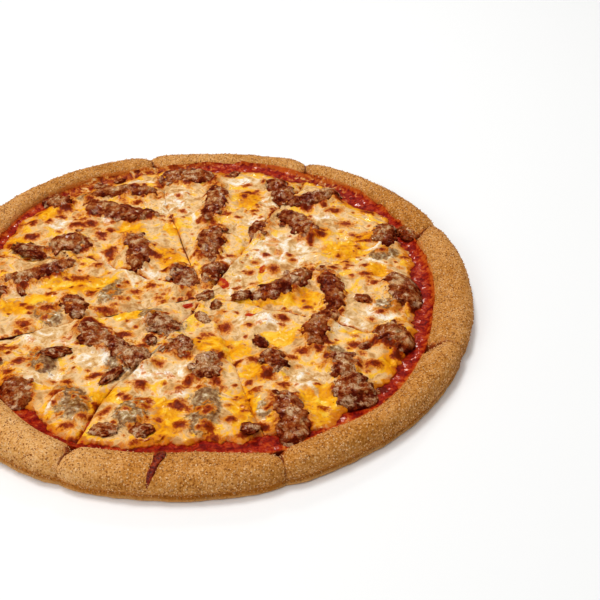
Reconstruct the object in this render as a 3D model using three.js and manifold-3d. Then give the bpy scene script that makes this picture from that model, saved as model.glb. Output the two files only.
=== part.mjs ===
// Doner kebab pizza: a 300 mm pizza cut into eight slices that still lie together.
// Each slice has a dough base with its raised crust, a sauce layer and a cheese layer.
// Strips of doner meat lie on the cheese. Millimetres, +Z up, origin in the middle of the underside.
import * as THREE from "three";
import { mergeVertices } from "three/addons/utils/BufferGeometryUtils.js";
import Module from "manifold-3d";

const wasm = await Module();
wasm.setup();

// ---------------------------------------------------------------- driving dimensions
const pizzaRadius = 150;
const clearance = 0.35; // kept between pieces that touch
const cutWidth = 0.9; // gap that the cutting wheel left

const deckHeight = 6; // dough under the toppings
const sauceThickness = 1.3;
const cheeseHeight = 10.4; // usual top of the melted cheese
const cheeseEdgeThickness = 1.1; // the cheese thins out to this at its outer edge

const crustHeight = 14.4; // crest of the rim
const crustInnerRadius = 131; // usual inner edge of the rim
const crustWaist = 6; // height where the dome is widest
const crustInnerLip = 9; // where the dome meets the sauce
const crestPlace = 0.5; // crest, as a share of the rim's width from its inner edge
const domeFullness = 2.3; // 2 is a round dome, more is flatter on top
const innerUndercut = 0.8; // the rim leans this far over the sauce
const crestWave = { height: 0.25, length: 47 };
const edgeWave = { height: 0.35, length: 90 }; // of the outline
const footRadius = 148.2;
const footLip = { radius: 149.7, height: 1.3 }; // pale edge of the base
const footGroove = { radius: 148.7, height: 3.2 }; // baked line above it

const pinchWidth = 5; // the crust sinks beside a cut over this distance
const pinchDepth = 1.8;
const pinchIndent = 0.9;
const cheesePinchWidth = 4;
const cheesePinchDepth = 0.8;

const columnsPerSlice = 9;
const crowding = 0.1; // how far the columns crowd together beside the cuts
const cutStops = [3, 15, 31, 45, 62, 80, 96, 110, 120, 128, 136, 144, 200];
const blockHeight = 60; // more than any piece
const bedFloor = -2; // cutting solids start below the underside
const cheeseEdge = 124; // usual outer edge of the cheese, before it follows the sauce band
const cheeseStops = [118, 109, 98, 87, 76, 65, 54, 43, 32, 21, 11];
const cheeseWaves = [{ height: 0.45, length: 43 }, { height: 0.3, length: 23 }];
const thinningWidth = 16; // the cheese gets thinner over this distance from its edge
const sauceInset = 1.6; // from the rim's inner edge, which leans over the sauce

// Heights of the rim round the pizza: bearing in degrees, millimetres added to crustHeight.
const crustSwell = [
  [-170, 0.4], [-128, 0.6], [-90, 0], [-50, 0.5], [-12, -0.5], [15, 0.4], [45, -0.5],
  [70, -1.9], [92, -2.5], [110, -0.9], [135, 0.6], [165, 0.5],
];
// How far the pizza isn't round: bearing in degrees, millimetres added to pizzaRadius.
const outlineSwell = [
  [-170, 0.2], [-120, 0], [-60, 0], [-20, 0.2], [0, 0.5], [25, 0.8], [50, 0.3], [70, -0.8],
  [90, -1.2], [102, -0.6], [118, 0.6], [140, 0.8], [160, 0.5],
];
// Inner edge of the rim: bearing in degrees, radius.
const crustInnerEdge = [
  [-170, 129], [-150, 128], [-133, 127], [-113, 132], [-86, 128.4], [-71, 134.5], [-59, 133],
  [-47, 135.2], [-28, 131.8], [-12, 128.8], [10, 129.8], [30, 132], [47, 135.4], [64, 134],
  [78, 136], [104, 133], [124, 135.5], [145, 134.4], [162, 128],
];
// Width of bare sauce between the cheese and the rim: bearing in degrees, width.
const sauceBand = [
  [-170, 6], [-150, 4.5], [-134, 5], [-123, 7], [-113, 2], [-104, 5], [-94, 4.2], [-80, 5],
  [-68, 9.5], [-59, 2], [-50, 10], [-38, 8], [-20, 8], [0, 11], [14, 8], [25, 9], [34, 5],
  [46, 14], [58, 5], [68, 10], [76, 7], [86, 11], [96, 5], [107, 3], [120, 9], [133, 9],
  [150, 5], [168, 6],
];

// The cuts meet here, a little off the middle, and each runs out through the points given.
const cutCentre = new THREE.Vector2(5, -12);
const cutPoints = [
  [[60, 15], [108, 39], [123, 45.5], [134, 56], [142, 60]],
  [[20, 22], [31, 50], [45, 80], [56, 99], [59, 121], [60, 136]],
  [[-7, 23], [-16, 53], [-26, 82], [-31, 108], [-37, 125], [-43, 140]],
  [[-43, 13], [-63, 23], [-78, 24], [-95, 23], [-120, 29], [-145, 38]],
  [[-38, -27], [-58, -33], [-88, -45], [-136, -62]],
  [[-9, -44], [-17, -60], [-34, -86], [-43, -113], [-50, -136]],
  [[19, -54], [35, -105], [46, -128], [50, -140]],
  [[60, -31], [108, -50], [119, -54.5], [130, -51], [141, -54]],
];

// Meat that lies under the cheese and only shows as a swelling: x, y, length, width, heading.
const buriedMeat = [
  [-53, -97, 24, 15, -60], [-22, -103, 20, 14, 80], [-77, -28, 18, 12, -60],
  [103, 29, 17, 10, 20], [-81, 93, 14, 10, -50], [11, -100, 38, 13, 88], [-70, -69, 16, 9, -60],
  [-22, -29, 15, 9, 10], [35, -35, 22, 14, 20], [-48, -8, 22, 12, 70],
];
const buriedHeight = 1.7;

// Strips of doner on the cheese: x, y, length, width, heading in degrees, bend, height.
const meatStrips = [
  [-53, 95, 45, 9, 2, 1.5, 4.2], [-54, 73, 44, 14, -18, -2, 4.6],
  [-16, 113, 36, 15, 2, 2, 4.6], [3, 83, 42, 12, 86, -1.5, 4.4],
  [-88, 9, 40, 11, 30, -2, 4.4], [-77, 35, 25, 15, 12, 2, 5.2],
  [-38, 30, 36, 12, -78, 1.5, 4.4], [5, 38, 34, 13, 86, 1.5, 4.6],
  [-8, 5, 24, 12, -65, 1, 4.2], [6.5, 8.5, 20, 9, 60, 0.5, 3.8],
  [47, -2, 43, 12, 40, -2, 4.6], [72.5, -9, 40, 10, -83, 1.5, 5],
  [67, -41, 30, 12, 72, 2, 4.8], [111, -8, 29, 15, -80, 1.5, 5],
  [106.5, 48, 22, 12, 85, 1, 4.6], [119, 51, 14, 8.5, -62, 0.5, 4.4],
  [104, -48, 21, 15, -45, 0.5, 4.8], [77, -70, 18, 13, -80, 0.5, 4.4],
  [82, -88, 21, 17, -62, -0.5, 4.6], [43, -67, 17, 10.5, -80, 0.5, 4],
  [51, -106, 32, 13, -78, 1, 4.6], [10.5, -71, 21, 12, 90, 0.5, 4.2],
  [-46, -48, 33, 13, -38, -1.5, 4.2], [-28, -62, 20, 11, -12, 0.5, 3.8],
  [-5.5, -56, 17, 12, -20, 0.5, 3.8], [-15, -39, 20, 12, -35, 0.5, 3.8],
  [43, 96, 31, 13, -70, 1, 4.6], [64, 89, 36, 11, 28, -2, 4.8],
  [54, 59, 34, 12, -52, 1, 4.6], [32, 53, 18, 9, 74, 0.5, 4.2],
  [-94, 86, 22, 12, -35, 0.5, 4.6], [-64, -22, 18, 11, -60, 0.5, 4.4],
  [-80, -89, 20, 13, -70, 0.5, 4.2], [-112, -16, 26, 12, 65, 1, 4.4],
  [-104, -62, 24, 13, -40, 1, 4.4],
];
const meatForm = { rings: 7, sides: 9, sunk: 2.2 }; // sunk in, then cut off by the bed
const meatRoughness = 0.12; // of the strip's own half size
const meatBluntness = 3.2; // 2 is a pointed ellipse, more is blunter

// Crumbs too small to be pieces of their own, fused to the cheese: x, y, length, width, heading.
const cheeseCrumbs = [
  [25, -13, 12, 7, 10], [36, -51, 11, 7, -60], [33, -114, 10, 7, 0], [-16, -115, 11, 9, 0],
  [-34, -114, 14, 8, -5], [-20, -50, 9, 6, -80], [-95, -9, 9, 4, -55], [90, -15, 11, 7, -30],
  [89, -54, 9, 6, 15], [-67, -60, 17, 8, 15], [14, 121, 8, 7, 60], [-71, 108, 10, 7, 0],
  [4, -30, 15, 7, -50], [-60, 115, 8, 7, 40], [-84, 109, 9, 6, 20], [-98, 31, 18, 8, -22],
];
const crumbHeight = 2.6;
const crumbForm = { rings: 4, sides: 6, sunk: 1.4 };
const crumbInset = 0.5; // from the edge of the cheese

// Sauce that ran over the near rim and burnt on, in a shallow slit.
const dripStart = new THREE.Vector2(-5.5, -129.5);
const dripEnd = new THREE.Vector2(-9.4, -147.1);
const dripWidth = 3.6; // at its widest
const dripWidest = 0.4; // where, as a share of its length
const dripNarrowing = 0.33; // width of both ends, as a share of the widest
const slitDepth = 1.3;
const dripRise = 0.5;

const colours = {
  crust: 0xc99355,
  sauce: 0x9c1c05,
  cheese: 0xf0bf62,
  meat: 0x6e4226,
  drip: 0x5a1a0c,
};

// ---------------------------------------------------------------- small maths
const toRadians = THREE.MathUtils.degToRad;
const mix = THREE.MathUtils.lerp;
const bell = (distance, width) => Math.exp(-((distance / width) ** 2));

// A smooth curve through knots [place, value], held flat beyond both ends.
function throughKnots(knots) {
  const slope = (i) => {
    const before = knots[Math.max(i - 1, 0)];
    const after = knots[Math.min(i + 1, knots.length - 1)];
    return (after[1] - before[1]) / (after[0] - before[0]);
  };
  return (place) => {
    if (place <= knots[0][0]) return knots[0][1];
    const next = knots.findIndex((knot) => knot[0] >= place);
    if (next < 0) return knots[knots.length - 1][1];
    const [from, to] = [knots[next - 1], knots[next]];
    const span = to[0] - from[0];
    const t = (place - from[0]) / span;
    const rise = t * t * (3 - 2 * t);
    const lean = t * (1 - t) * ((1 - t) * slope(next - 1) - t * slope(next)) * span;
    return mix(from[1], to[1], rise) + lean;
  };
}

// The same for knots by bearing in degrees, which join up round the circle.
function roundCircle(knots) {
  const turned = (turn) => knots.map(([bearing, value]) => [bearing + turn, value]);
  const curve = throughKnots([...turned(-360), ...turned(0), ...turned(360)]);
  return (x, y) => curve(THREE.MathUtils.radToDeg(Math.atan2(y, x)));
}

// Gentle repeatable unevenness between -1 and 1.
function ripple(x, y, wavelength, seed) {
  const k = (2 * Math.PI) / wavelength;
  const a = Math.sin(k * (x + 0.31 * y) + seed) * Math.cos(k * (0.83 * y - 0.2 * x) + 2.3 * seed);
  const b = Math.sin(k * 1.7 * (0.6 * x - y) + 4.1 * seed);
  return 0.65 * a + 0.35 * b;
}

// ---------------------------------------------------------------- cuts and slice map
const cuts = cutPoints.map((points) => {
  const last = points[points.length - 1];
  const heading = Math.atan2(last[1] - cutCentre.y, last[0] - cutCentre.x);
  const knots = points.map(([x, y]) => {
    const arm = new THREE.Vector2(x, y).sub(cutCentre);
    const turn = Math.atan2(arm.y, arm.x) - heading;
    return [arm.length(), Math.atan2(Math.sin(turn), Math.cos(turn))];
  });
  return { heading, sway: throughKnots(knots) };
});

// From the cuts' meeting point along a heading to the circle of a radius about the origin.
// The smallest circles close in on the meeting point instead.
const smallestCircle = 30;
function reach(radius, heading) {
  const circle = Math.max(radius, smallestCircle);
  const along = cutCentre.x * Math.cos(heading) + cutCentre.y * Math.sin(heading);
  const distance = Math.sqrt(along ** 2 - cutCentre.lengthSq() + circle ** 2) - along;
  return (distance * Math.min(radius, smallestCircle)) / smallestCircle;
}

// The turn that moves a point sideways by a width at a distance.
const turnFor = (width, distance) => width / Math.max(distance, 0.1);

// The point of a slice at a radius, and at a share of the way from its first cut to its second.
function slicePoint(slice, radius, share, gap) {
  const first = cuts[slice];
  const second = cuts[(slice + 1) % cuts.length];
  const spread = (second.heading - first.heading + 2 * Math.PI) % (2 * Math.PI);
  const firstReach = reach(radius, first.heading);
  const secondReach = reach(radius, second.heading);
  const from = first.heading + first.sway(firstReach) + turnFor(gap / 2, firstReach);
  const to = first.heading + spread + second.sway(secondReach) - turnFor(gap / 2, secondReach);
  const heading = mix(from, to, share);
  const distance = reach(radius, heading);
  return new THREE.Vector2(Math.cos(heading), Math.sin(heading))
    .multiplyScalar(distance)
    .add(cutCentre);
}

// How far a point lies from the nearest cut, measured across it.
function cutDistance(x, y) {
  const arm = new THREE.Vector2(x, y).sub(cutCentre);
  const distance = arm.length();
  const bearing = Math.atan2(arm.y, arm.x);
  const across = cuts.map(({ heading, sway }) => {
    const turn = bearing - heading - sway(distance);
    const angle = Math.abs(Math.atan2(Math.sin(turn), Math.cos(turn)));
    return angle > Math.PI / 2 ? distance : distance * Math.sin(angle);
  });
  return Math.min(...across);
}

// ---------------------------------------------------------------- forms of crust and cheese
const swellAt = roundCircle(crustSwell);
const outlineAt = roundCircle(outlineSwell);
const innerEdgeAt = roundCircle(crustInnerEdge);
const bandAt = roundCircle(sauceBand);

const pinchAt = (x, y) => bell(cutDistance(x, y), pinchWidth);
const crestAt = (x, y) =>
  crustHeight + swellAt(x, y) + crestWave.height * ripple(x, y, crestWave.length, 2)
  - pinchDepth * pinchAt(x, y);
const outerEdgeAt = (x, y) =>
  pizzaRadius + outlineAt(x, y) + edgeWave.height * (ripple(x, y, edgeWave.length, 5) - 1)
  - pinchIndent * pinchAt(x, y);
const cheeseEdgeAt = (x, y) => innerEdgeAt(x, y) - bandAt(x, y);

// A rectangle with soft round sides: 1 inside, falling to 0 outside.
function softPatch(x, y, [centreX, centreY, length, width, heading]) {
  const turn = toRadians(heading);
  const [dx, dy] = [x - centreX, y - centreY];
  const along = (dx * Math.cos(turn) + dy * Math.sin(turn)) / (length / 2);
  const across = (dy * Math.cos(turn) - dx * Math.sin(turn)) / (width / 2);
  const distance = Math.hypot(along, across);
  return 1 - THREE.MathUtils.smoothstep(distance, 0.45, 1.25);
}

const sauceTop = deckHeight + clearance + sauceThickness;
const cheeseBottom = sauceTop + clearance;

function cheeseTopAt(x, y) {
  const inside = cheeseEdgeAt(x, y) - Math.hypot(x, y);
  const thinning = 1 - THREE.MathUtils.smoothstep(inside, -1, thinningWidth);
  const buried = Math.max(...buriedMeat.map((patch) => softPatch(x, y, patch)));
  const [long, short] = cheeseWaves;
  const full = cheeseHeight + long.height * ripple(x, y, long.length, 1)
    + short.height * ripple(x, y, short.length, 3) + buriedHeight * buried
    - cheesePinchDepth * bell(cutDistance(x, y), cheesePinchWidth);
  const least = cheeseBottom + cheeseEdgeThickness;
  return Math.max(mix(full, least, thinning * thinning), least);
}

// ---------------------------------------------------------------- solids
function toManifold(geometry) {
  geometry.deleteAttribute("normal");
  geometry.deleteAttribute("uv");
  const merged = mergeVertices(geometry, 1e-4);
  const corners = merged.index.array;
  const kept = [];
  for (let i = 0; i < corners.length; i += 3) {
    const [a, b, c] = corners.subarray(i, i + 3);
    if (a !== b && b !== c && c !== a) kept.push(a, b, c); // on the axis two corners can be one
  }
  return new wasm.Manifold(new wasm.Mesh({
    numProp: 3,
    vertProperties: new Float32Array(merged.attributes.position.array),
    triVerts: new Uint32Array(kept),
  }));
}

function toGeometry(solid) {
  const { vertProperties, triVerts, numProp, numVert } = solid.getMesh();
  const positions = new Float32Array(numVert * 3);
  for (let i = 0; i < numVert; i++) {
    positions.set(vertProperties.subarray(i * numProp, i * numProp + 3), i * 3);
  }
  const geometry = new THREE.BufferGeometry();
  geometry.setAttribute("position", new THREE.BufferAttribute(positions, 3));
  geometry.setIndex(new THREE.BufferAttribute(triVerts, 1));
  return geometry.toNonIndexed();
}

// The largest body of a solid, without the scraps that a cut can leave.
function mainBody(solid) {
  const bodies = solid.decompose();
  return bodies.reduce((best, body) => (body.volume() > best.volume() ? body : best));
}

// One layer of the whole pizza, from a profile of [radius, height] points that starts and ends
// in the middle. shape(x, y, radius, height) gives each point's real radius and height.
function layerSolid(profile, columns, shape) {
  const outline = profile.map(([radius, height]) => new THREE.Vector2(radius, height));
  const geometry = new THREE.LatheGeometry(outline, columns * cuts.length);
  const position = geometry.attributes.position;
  for (let i = 0; i < position.count; i++) {
    const [radius, height] = profile[i % profile.length];
    const column = Math.floor(i / profile.length);
    const slice = Math.floor(column / columns) % cuts.length;
    const even = (column % columns) / columns;
    const share = even - crowding * Math.sin(2 * Math.PI * even);
    const rough = slicePoint(slice, radius, share, 0);
    const real = shape(rough.x, rough.y, radius, height);
    const place = slicePoint(slice, real.radius, share, 0);
    position.setXYZ(i, place.x, place.y, real.height);
  }
  return toManifold(geometry);
}

// What the cutting wheel leaves to one slice: an upright block between two cuts.
function sliceBlock(slice, gap) {
  const side = (share) => cutStops.map((radius) => slicePoint(slice, radius, share, gap));
  const outline = new THREE.Shape([...side(0), ...side(1).reverse()]);
  const geometry = new THREE.ExtrudeGeometry(outline, { depth: blockHeight, bevelEnabled: false });
  return toManifold(geometry.translate(0, 0, -blockHeight / 4));
}

// ---------------------------------------------------------------- dough
// Half of a flattened dome, from the crest down to one side.
function domeSide(side, sideHeight, crest, steps) {
  const points = [];
  for (let i = 1; i <= steps; i++) {
    const turn = (Math.PI / 2) * (i / steps);
    const out = Math.sin(turn) ** (2 / domeFullness);
    const down = 1 - Math.cos(turn) ** (2 / domeFullness);
    points.push([mix(crest, side, out), mix(crustHeight, sideHeight, down)]);
  }
  return points;
}

function doughProfile(bottom) {
  const crest = mix(crustInnerRadius, pizzaRadius, crestPlace);
  return [
    [0, bottom], [footRadius, bottom],
    [footLip.radius, footLip.height], [footGroove.radius, footGroove.height],
    ...domeSide(pizzaRadius, crustWaist, crest, 4).reverse(), [crest, crustHeight],
    ...domeSide(crustInnerRadius, crustInnerLip, crest, 3),
    [crustInnerRadius - innerUndercut, deckHeight], [0, deckHeight],
  ];
}

function doughShape(x, y, radius, height) {
  const innerEdge = innerEdgeAt(x, y);
  const outerEdge = outerEdgeAt(x, y);
  const across = (radius - crustInnerRadius) / (pizzaRadius - crustInnerRadius);
  const stretched = across > 0
    ? mix(innerEdge, outerEdge, across)
    : (radius * innerEdge) / crustInnerRadius;
  const foot = across > crestPlace ? crustWaist : crustInnerLip; // where the dome starts
  const rise = Math.max(height - foot, 0) / (crustHeight - foot);
  return {
    radius: stretched,
    height: Math.min(height, foot) + rise * (crestAt(x, y) - foot),
  };
}

const doughLayer = (lift = 0, bottom = 0) =>
  layerSolid(doughProfile(bottom), columnsPerSlice, (x, y, radius, height) => {
    const real = doughShape(x, y, radius, height);
    return { radius: real.radius, height: height > bottom ? real.height + lift : bottom };
  });

// ---------------------------------------------------------------- sauce and cheese
const flatProfile = (edge, stops) => [
  [0, 0], [edge, 0], [edge, 1], ...stops.map((stop) => [stop, 1]), [0, 1],
];

const sauceLayer = (inset, top, bottom) =>
  layerSolid(flatProfile(crustInnerRadius, []), columnsPerSlice, (x, y, radius, isTop) => ({
    radius: (radius * (innerEdgeAt(x, y) - inset)) / crustInnerRadius,
    height: isTop ? top : bottom,
  }));

const cheeseLayer = (lift = 0, bottom = cheeseBottom) =>
  layerSolid(flatProfile(cheeseEdge, cheeseStops), columnsPerSlice, (x, y, radius, isTop) => {
    const real = (radius * cheeseEdgeAt(x, y)) / cheeseEdge;
    const stretch = real / Math.max(Math.hypot(x, y), 1);
    return { radius: real, height: isTop ? cheeseTopAt(x * stretch, y * stretch) + lift : bottom };
  });

// Everything the meat lies on, as one closed bed, higher than the food by the clearance.
const together = (solids) => solids.reduce((all, solid) => all.add(solid));
const bed = together([
  doughLayer(clearance, bedFloor),
  sauceLayer(0, sauceTop + clearance, bedFloor),
  cheeseLayer(clearance, bedFloor),
]);

// ---------------------------------------------------------------- meat
function bedHeightAt(x, y) {
  const beyond = THREE.MathUtils.smoothstep(Math.hypot(x, y) - cheeseEdgeAt(x, y), -2, 4);
  return mix(cheeseTopAt(x, y), sauceTop, beyond);
}

// A rounded strip that follows the bed under it, with its underside sunk in so that it can be cut.
function stripSolid([x, y, length, width, heading, bend, height], form, grow = 0) {
  const geometry = new THREE.SphereGeometry(1, form.sides, form.rings);
  geometry.rotateZ(-Math.PI / 2); // poles at the strip's two ends
  const position = geometry.attributes.position;
  const turn = toRadians(heading);
  const seed = 0.37 * x + 0.53 * y;
  for (let i = 0; i < position.count; i++) {
    const [along, across, up] = [position.getX(i), position.getY(i), position.getZ(i)];
    const lump = ripple(20 * along + 9 * seed, 11 * across + 7 * up, 9, seed);
    const uneven = 1 + meatRoughness * lump;
    const round = Math.hypot(across, up);
    const girth = round > 1e-6 ? Math.sqrt(1 - Math.abs(along) ** meatBluntness) / round : 0;
    const forwards = along * (length / 2 + grow);
    const sideways = across * girth * ((width / 2) * uneven + grow) + bend * (1 - 2 * along ** 2);
    const worldX = x + forwards * Math.cos(turn) - sideways * Math.sin(turn);
    const worldY = y + forwards * Math.sin(turn) + sideways * Math.cos(turn);
    const rise = up * girth * (up > 0 ? height * uneven + grow : form.sunk);
    position.setXYZ(i, worldX, worldY, bedHeightAt(worldX, worldY) + rise);
  }
  return toManifold(geometry);
}

// Each strip gives way to the strips before it.
const meatRooms = meatStrips.map((strip) => stripSolid(strip, meatForm, clearance));
const meatSolids = meatStrips.map((strip, number) => {
  const blank = stripSolid(strip, meatForm);
  const clear = meatRooms.slice(0, number).reduce((rest, room) => rest.subtract(room), blank);
  return mainBody(clear.subtract(bed));
});

// Crumbs stay clear of the strips, and inside the outline of the cheese they are fused to.
const crumbs = together(
  cheeseCrumbs.map((crumb) => stripSolid([...crumb, 0, crumbHeight], crumbForm)),
).subtract(together(meatRooms));
const crumbField = layerSolid(flatProfile(cheeseEdge, []), columnsPerSlice,
  (x, y, radius, isTop) => ({
    radius: (radius * (cheeseEdgeAt(x, y) - crumbInset)) / cheeseEdge,
    height: isTop ? blockHeight : cheeseBottom + cheeseEdgeThickness / 2,
  }));

// ---------------------------------------------------------------- burnt drip on the rim
// An upright prism, pointed at both ends and widest near its start.
function dripPrism(grow) {
  const forward = dripEnd.clone().sub(dripStart).normalize();
  const side = new THREE.Vector2(-forward.y, forward.x);
  const halfWidth = dripWidth / 2 + grow;
  const corner = (share, past, width) =>
    dripStart.clone().lerp(dripEnd, share).addScaledVector(forward, past)
      .addScaledVector(side, width);
  const narrow = dripNarrowing * halfWidth;
  const outline = new THREE.Shape([
    corner(0, -grow, narrow), corner(0, -grow, -narrow), corner(dripWidest, 0, -halfWidth),
    corner(1, grow, -narrow), corner(1, grow, narrow), corner(dripWidest, 0, halfWidth),
  ]);
  const geometry = new THREE.ExtrudeGeometry(outline, { depth: blockHeight, bevelEnabled: false });
  return toManifold(geometry.translate(0, 0, bedFloor));
}

// Both reach from above the rim down to a surface that follows it.
const aboveDough = (prism, lift) => prism.subtract(doughLayer(lift, 2 * bedFloor));
const slit = aboveDough(dripPrism(clearance), -slitDepth);
const drip = mainBody(
  aboveDough(dripPrism(0), clearance - slitDepth).intersect(doughLayer(dripRise, bedFloor)),
);

// ---------------------------------------------------------------- the scene graph
function foodMaterial(colour, roughness) {
  return new THREE.MeshStandardMaterial({ color: colour, roughness, metalness: 0 });
}

const pizza = new THREE.Group();
function addNode(name, solid, material) {
  const mesh = new THREE.Mesh(toGeometry(solid), material);
  mesh.name = name;
  pizza.add(mesh);
}

const wholeDough = doughLayer().subtract(slit);
const wholeSauce = sauceLayer(sauceInset, sauceTop, deckHeight + clearance);
const wholeCheese = cheeseLayer();
cuts.forEach((_, slice) => {
  const block = sliceBlock(slice, cutWidth);
  const rising = crumbs.intersect(crumbField).intersect(sliceBlock(slice, cutWidth + clearance));
  const label = `slice_${slice + 1}`;
  addNode(`${label}_dough`, mainBody(wholeDough.intersect(block)),
    foodMaterial(colours.crust, 0.85));
  addNode(`${label}_sauce`, mainBody(wholeSauce.intersect(block)),
    foodMaterial(colours.sauce, 0.35));
  addNode(`${label}_cheese`, mainBody(wholeCheese.intersect(block).add(rising)),
    foodMaterial(colours.cheese, 0.5));
});

meatSolids.forEach((solid, number) => {
  addNode(`meat_${String(number + 1).padStart(2, "0")}`, solid, foodMaterial(colours.meat, 0.7));
});
addNode("burnt_drip", drip, foodMaterial(colours.drip, 0.4));

export default pizza;
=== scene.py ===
# %% [markdown]
# # Doner kebab pizza
# A 300 mm pizza, baked brown, cut into eight slices that still lie together. This lesson dresses
# the plain solids of the part: dough with a grainy rim, glossy tomato sauce, melted cheese with
# brown blisters, crumbly strips of doner, and a drip of sauce that burnt on to the rim.

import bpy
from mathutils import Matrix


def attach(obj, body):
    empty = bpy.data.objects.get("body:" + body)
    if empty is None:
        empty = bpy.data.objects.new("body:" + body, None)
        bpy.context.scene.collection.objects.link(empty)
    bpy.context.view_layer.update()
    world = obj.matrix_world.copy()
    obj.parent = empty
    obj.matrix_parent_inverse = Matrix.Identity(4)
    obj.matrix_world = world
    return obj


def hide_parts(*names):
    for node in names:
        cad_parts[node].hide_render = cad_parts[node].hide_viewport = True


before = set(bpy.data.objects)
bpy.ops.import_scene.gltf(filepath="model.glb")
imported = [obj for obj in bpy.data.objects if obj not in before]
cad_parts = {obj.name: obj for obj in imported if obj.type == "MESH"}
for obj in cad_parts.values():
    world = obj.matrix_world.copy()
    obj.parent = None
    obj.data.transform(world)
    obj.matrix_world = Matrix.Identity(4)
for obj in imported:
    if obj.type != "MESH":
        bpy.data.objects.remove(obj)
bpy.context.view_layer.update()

# %% Tools
import math

import bmesh
import bpy
import numpy as np
from mathutils import Matrix, Vector, noise

MM = 0.001  # the lengths below are millimetres, and a finished piece is scaled to metres
lot = np.random.default_rng(20)  # every random draw comes from here, so each run is the same

# %% [markdown]
# ## The pizza's own measures
# The looks have to lie exactly on the solids, so this cell repeats the part's driving sizes: the
# heights of the layers, the section of the rim, and how the rim, the sauce band and the outline
# change round the pizza. A list of knots is easier to read and to change than a mesh.

# %% Driving sizes
PIZZA_RADIUS = 150
DECK_HEIGHT = 6
SAUCE_BOTTOM, SAUCE_TOP = 6.35, 7.65
CHEESE_BOTTOM = 8.0
CHEESE_HEIGHT = 10.4
CHEESE_EDGE_THICKNESS = 1.1

CRUST_HEIGHT = 14.4
CRUST_INNER_RADIUS = 131
CRUST_WAIST = 6
CRUST_INNER_LIP = 9
CREST_PLACE = 0.5
DOME_FULLNESS = 2.3
PINCH_WIDTH, PINCH_DEPTH, PINCH_INDENT = 5, 1.8, 0.9

# Bearing in degrees, and what is added or the radius there.
CRUST_SWELL = [
    (-170, 0.4), (-128, 0.6), (-90, 0), (-50, 0.5), (-12, -0.5), (15, 0.4), (45, -0.5),
    (70, -1.9), (92, -2.5), (110, -0.9), (135, 0.6), (165, 0.5),
]
OUTLINE_SWELL = [
    (-170, 0.2), (-120, 0), (-60, 0), (-20, 0.2), (0, 0.5), (25, 0.8), (50, 0.3), (70, -0.8),
    (90, -1.2), (102, -0.6), (118, 0.6), (140, 0.8), (160, 0.5),
]
CRUST_INNER_EDGE = [
    (-170, 129), (-150, 128), (-133, 127), (-113, 132), (-86, 128.4), (-71, 134.5), (-59, 133),
    (-47, 135.2), (-28, 131.8), (-12, 128.8), (10, 129.8), (30, 132), (47, 135.4), (64, 134),
    (78, 136), (104, 133), (124, 135.5), (145, 134.4), (162, 128),
]
SAUCE_BAND = [
    (-170, 6), (-150, 4.5), (-134, 5), (-123, 7), (-113, 2), (-104, 5), (-94, 4.2), (-80, 5),
    (-68, 9.5), (-59, 2), (-50, 10), (-38, 8), (-20, 8), (0, 11), (14, 8), (25, 9), (34, 5),
    (46, 14), (58, 5), (68, 10), (76, 7), (86, 11), (96, 5), (107, 3), (120, 9), (133, 9),
    (150, 5), (168, 6),
]
CUT_CENTRE = np.array([5.0, -12.0])
CUT_POINTS = [
    [(60, 15), (108, 39), (123, 45.5), (134, 56), (142, 60)],
    [(20, 22), (31, 50), (45, 80), (56, 99), (59, 121), (60, 136)],
    [(-7, 23), (-16, 53), (-26, 82), (-31, 108), (-37, 125), (-43, 140)],
    [(-43, 13), (-63, 23), (-78, 24), (-95, 23), (-120, 29), (-145, 38)],
    [(-38, -27), (-58, -33), (-88, -45), (-136, -62)],
    [(-9, -44), (-17, -60), (-34, -86), (-43, -113), (-50, -136)],
    [(19, -54), (35, -105), (46, -128), (50, -140)],
    [(60, -31), (108, -50), (119, -54.5), (130, -51), (141, -54)],
]
print("rim crest", CRUST_HEIGHT, "mm, cheese", CHEESE_HEIGHT, "mm, cuts", len(CUT_POINTS))

# %% [markdown]
# ## Small maths
# Every surface here is a height or a radius that depends on the place, so the functions below take
# whole arrays of places at once. That is what makes hundreds of thousands of points quick to shape.


# %% Curves, ripples and cloudy noise
def lerp(start, stop, share):
    return start + (stop - start) * share


def smoothstep(value, low, high):
    share = np.clip((value - low) / (high - low), 0, 1)
    return share * share * (3 - 2 * share)


def bell(distance, width):
    return np.exp(-((distance / width) ** 2))


def through_knots(knots):
    """A smooth curve through knots (place, value), flat beyond both ends."""
    places, values = np.array(knots, float).T
    order = np.arange(len(places))
    before, after = np.maximum(order - 1, 0), np.minimum(order + 1, len(places) - 1)
    slopes = (values[after] - values[before]) / (places[after] - places[before])

    def curve(place):
        place = np.clip(place, places[0], places[-1])
        stop = np.clip(np.searchsorted(places, place), 1, len(places) - 1)
        start = stop - 1
        span = places[stop] - places[start]
        t = (place - places[start]) / span
        lean = t * (1 - t) * ((1 - t) * slopes[start] - t * slopes[stop]) * span
        return lerp(values[start], values[stop], t * t * (3 - 2 * t)) + lean

    return curve


def round_circle(knots):
    """The same for knots by bearing in degrees, which join up round the circle."""
    turns = [(bearing + turn, value) for turn in (-360, 0, 360) for bearing, value in knots]
    curve = through_knots(turns)
    return lambda x, y: curve(np.degrees(np.arctan2(y, x)))


def ripple(x, y, wavelength, seed):
    """Waves that cross each other, about -1 to 1. The uneven numbers keep them from repeating."""
    k = 2 * math.pi / wavelength
    a = np.sin(k * (x + 0.31 * y) + seed) * np.cos(k * (0.83 * y - 0.2 * x) + 2.3 * seed)
    return 0.65 * a + 0.35 * np.sin(k * 1.7 * (0.6 * x - y) + 4.1 * seed)


def cloud(points, size, seed, octaves=2):
    """Cloudy noise, about -1 to 1, with blots of a size in millimetres."""
    moved = (points / size + 7.31 * seed).tolist()
    return np.array([noise.fractal(point, 1.0, 2.0, octaves) for point in moved])


def relief(points, clouds):
    """Clouds of a height, a size and a seed each, added up."""
    return sum(height * cloud(points, size, seed) for height, size, seed in clouds)


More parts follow.
